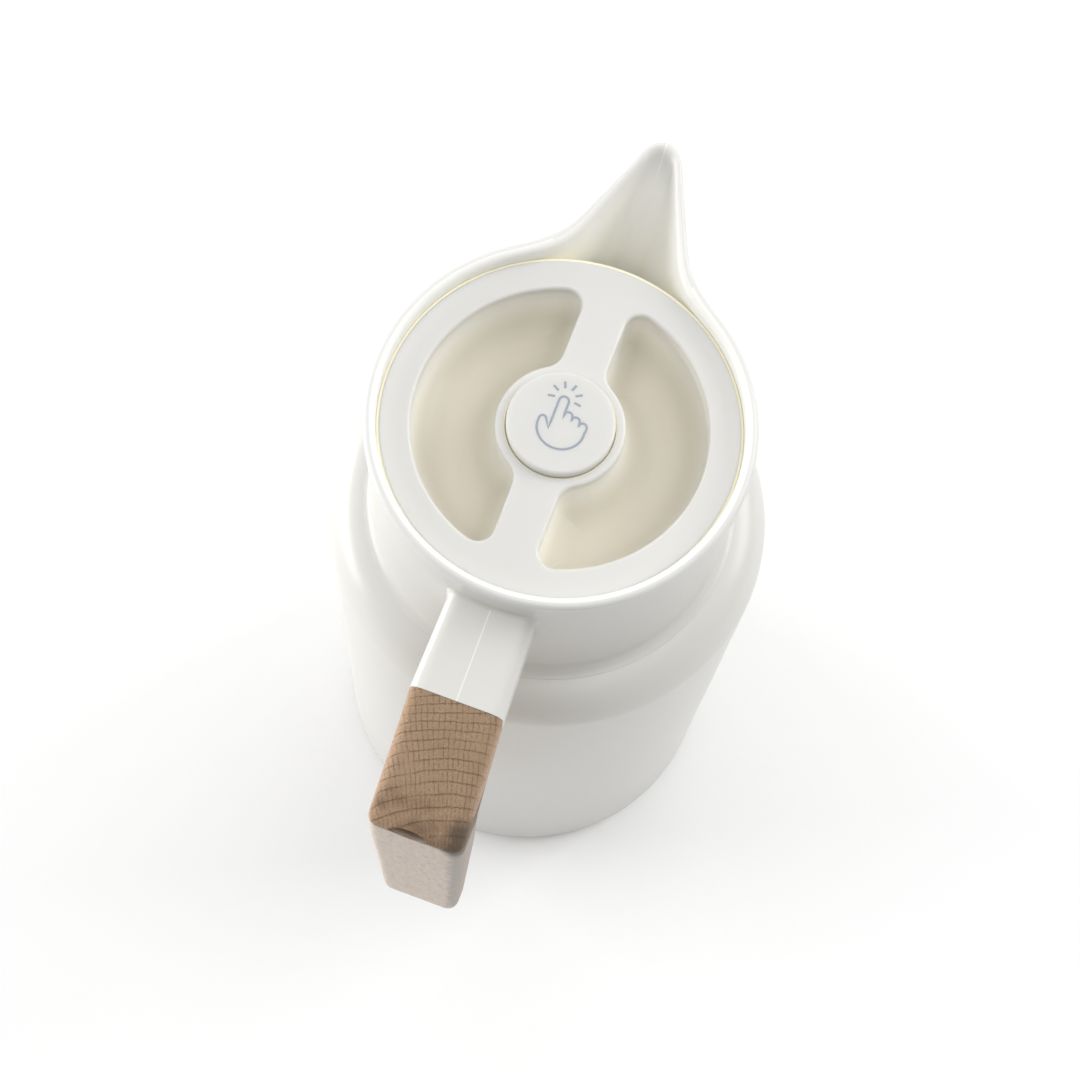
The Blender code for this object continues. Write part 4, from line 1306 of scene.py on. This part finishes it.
@dataclass
class Button:
    """The press button and its printed sign: a pointing finger with short rays."""

    finishes: Finishes
    radius: float = 14.5
    top_z: float = 238.0
    skirt_z: float = 228.0
    columns: int = 128
    sign_scale: float = 0.88
    sign_centre: Pair = (2.4, 1.3)
    stroke: float = 0.36
    ink_height: float = 0.03
    fingertip: Pair = (0.0, 5.0)
    rays: int = 6
    ray_from: float = 3.1
    ray_to: float = 5.3

    def cap(self) -> bpy.types.Object:
        """Makes the button.

        Returns:
            The finished piece.
        """
        edge = 0.9
        profile = [(0.0, self.top_z), (8.0, self.top_z), (self.radius - edge - 0.4, self.top_z)]
        profile += arc((self.radius - edge, self.top_z - edge), edge, 90.0, 0.0, 7)
        profile += [(self.radius, self.skirt_z), (12.7, self.skirt_z), (12.7, 236.0), (4.5, 236.0),
                    (4.5, 229.0), (2.7, 229.0), (2.7, 235.0), (0.0, 235.0)]
        form = Form().turned(profile, self.columns, closed=False)
        return form.object("press_button", [self.finishes.get(LID_WHITE)])

    def hand(self) -> list[Pair]:
        """The hand's outline, from the finger's foot round to the thumb's, fingertip upwards."""
        finger = [(-1.5, -3.6), (-1.5, 0.0), (-1.5, 3.6)]
        finger += arc((0.0, 3.9), 1.5, 170.0, 10.0, 6)
        finger += [(1.5, 3.0), (1.5, 0.4), (1.5, -1.6)]
        knuckles: list[Pair] = []
        for left, top in ((1.5, 0.9), (4.1, 0.1), (6.7, -1.0)):
            knuckles += [(left + 0.1, top - 1.1)] + arc((left + 1.3, top - 1.1), 1.3, 150.0, 10.0, 4)
            knuckles += [(left + 2.6, top - 2.4)]
        palm = [(2.0 + 7.2 * x, -4.6 + 6.7 * y) for x, y in arc((0.0, 0.0), 1.0, 8.0, -176.0, 24)]
        palm += arc((-4.1, -3.6), 1.1, 175.0, 30.0, 6) + [(-1.5, -6.0)]
        return finger + knuckles + palm

    def strokes(self) -> list[list[Pair]]:
        """The sign's lines in its own axes: right, and up towards the spout."""
        lines = [self.hand() + [(-1.5, -3.6)]]
        for i in range(self.rays):
            turn = math.radians(blend(-100.0, 100.0, i / (self.rays - 1)) + 90.0)
            x, y = math.cos(turn), math.sin(turn)
            lines.append([(self.fingertip[0] + reach * x, self.fingertip[1] + reach * y)
                          for reach in (self.ray_from, self.ray_to)])
        return lines

    def sign(self) -> bpy.types.Object:
        """Makes the printed sign as thin raised ink.

        Returns:
            The finished piece.
        """
        curve = bpy.data.curves.new("button_sign", "CURVE")
        curve.dimensions = "3D"
        curve.bevel_depth = self.stroke
        curve.bevel_resolution = 2
        curve.use_fill_caps = True
        for line in self.strokes():
            spline = curve.splines.new("POLY")
            spline.points.add(len(line) - 1)
            for point, (right, up) in zip(spline.points, line):
                point.co = (right, up, 0.0, 1.0)
        guide = bpy.data.objects.new("button_sign_guide", curve)
        mesh = bpy.data.meshes.new_from_object(guide)
        bpy.data.objects.remove(guide, do_unlink=True)
        form = Form()
        form.work.from_mesh(mesh)
        bpy.data.meshes.remove(mesh)
        flat = self.ink_height / self.stroke

        def place(point: Vector) -> Vector:
            """Turns the sign so that its up points along +X, on the button's top."""
            x = self.sign_centre[0] + point.y * self.sign_scale
            y = self.sign_centre[1] - point.x * self.sign_scale
            return Vector((x, y, self.top_z + point.z * flat))

        form.move(place)
        form.tidy()
        return form.object("button_sign", [self.finishes.get(INK)])

    def build(self) -> None:
        """Makes both pieces and settles them on the valve."""
        settle(self.cap(), Body.VALVE, LID_WHITE, "push_button")
        settle(self.sign(), Body.VALVE, INK)


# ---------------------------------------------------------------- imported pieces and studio


@dataclass
class Inner:
    """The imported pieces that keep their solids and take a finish."""

    finishes: Finishes
    nodes: Mapping[str, bpy.types.Object]

    def build(self) -> None:
        """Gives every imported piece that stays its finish."""
        dressed: dict[Finish, Sequence[str]] = {
            SILVERED: ("glass_flask",),
            CREAM_SILICONE: ("mouth_gasket", "stopper_gasket", "stem_seal", "valve_seal"),
            GREY_SILICONE: ("flask_cushion", "base_pad"),
            BASE_WHITE: ("base_cap",),
            STEEL: ("grip_screw_upper", "grip_screw_lower", "valve_stem", "valve_nut"),
            STOPPER_WHITE: ("stopper_body", "valve_disc"),
        }
        for finish, names in dressed.items():
            for name in names:
                node = self.nodes[name]
                node.data.materials.clear()
                node.data.materials.append(self.finishes.get(finish))
                LOG.info("%s keeps its solid, in %s", name, finish.name)


# Each soft light: name, place, width and height, and power in watts.
LIGHTS: tuple[tuple[str, Point, Pair, float], ...] = (
    ("left_panel", (-0.10, 1.20, 0.35), (1.0, 0.5), 12.0),
    ("right_panel", (0.75, -0.95, 0.85), (0.7, 0.6), 8.0),
    ("back_panel", (1.15, -0.10, 1.0), (0.9, 0.9), 2.0),
    ("top_panel", (0.02, 0.0, 1.35), (1.8, 1.8), 12.5),
)


@dataclass
class Studio:
    """A white floor, soft light all round and the camera above and behind the handle."""

    camera_place: Point = (-0.23127, -0.05051, 0.82526)
    camera_right: Point = (0.34301, -0.93826, 0.04495)
    camera_up: Point = (0.88331, 0.33846, 0.32437)
    camera_lens: float = 80.52
    sensor: float = 36.0
    floor_size: float = 6.0
    light_target: Point = (0.0, 0.0, 0.15)
    sky_strength: float = 0.28

    def camera(self) -> None:
        """Makes the camera and gives it to the scene."""
        data = bpy.data.cameras.new("studio_camera")
        data.sensor_width = self.sensor
        data.lens = self.camera_lens
        data.clip_start = 0.01
        camera = bpy.data.objects.new("studio_camera", data)
        bpy.context.scene.collection.objects.link(camera)
        right, up = Vector(self.camera_right), Vector(self.camera_up)
        turn = Matrix((right, up, right.cross(up))).transposed()
        camera.matrix_world = Matrix.Translation(self.camera_place) @ turn.to_4x4()
        bpy.context.scene.camera = camera

    def floor(self) -> None:
        """Makes the floor, which isn't part of the jug."""
        form = Form()
        bmesh.ops.create_grid(form.work, x_segments=1, y_segments=1, size=self.floor_size / MM / 2.0)
        graph = Graph("studio_floor")
        cloud = graph.noise(3.0, 2.0)
        graph.feed("Base Color", graph.mix(cloud, (0.955, 0.955, 0.955), (0.97, 0.97, 0.97)))
        graph.feed("Roughness", 0.9)
        graph.feed("Specular IOR Level", 0.1)
        form.object("studio_floor", [graph.material])

    def panel(self, name: str, place: Point, size: Pair, power: float) -> None:
        """Adds a soft light that faces the jug.

        Args:
            name: The light's name.
            place: Its place.
            size: Its width and height.
            power: Its power in watts.
        """
        data = bpy.data.lights.new(name, "AREA")
        data.shape = "RECTANGLE"
        data.size, data.size_y = size
        data.energy = power
        light = bpy.data.objects.new(name, data)
        bpy.context.scene.collection.objects.link(light)
        aim = (Vector(self.light_target) - Vector(place)).to_track_quat("-Z", "Y")
        light.matrix_world = Matrix.Translation(place) @ aim.to_matrix().to_4x4()

    def sky(self) -> None:
        """Fills the room with even light."""
        world = bpy.data.worlds.new("studio_room")
        world.use_nodes = True
        background = world.node_tree.nodes["Background"]
        background.inputs["Color"].default_value = (1.0, 1.0, 1.0, 1.0)
        background.inputs["Strength"].default_value = self.sky_strength
        bpy.context.scene.world = world

    def build(self) -> None:
        """Makes the studio."""
        self.camera()
        self.floor()
        self.sky()
        for light in LIGHTS:
            self.panel(*light)
        bpy.context.scene.view_settings.view_transform = "Standard"


def main() -> None:
    """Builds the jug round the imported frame."""
    logging.basicConfig(level=logging.INFO, format="%(name)s %(message)s")
    for item in list(bpy.data.objects):
        bpy.data.objects.remove(item, do_unlink=True)
    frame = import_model()
    finishes = Finishes()
    Shell(finishes).build()
    Collar(finishes).build()
    Grip(finishes).build()
    Lid(finishes).build()
    Spring(finishes).build()
    Button(finishes).build()
    Inner(finishes, frame["nodes"]).build()
    Studio().build()
    bpy.context.view_layer.update()


if __name__ == "__main__":
    main()
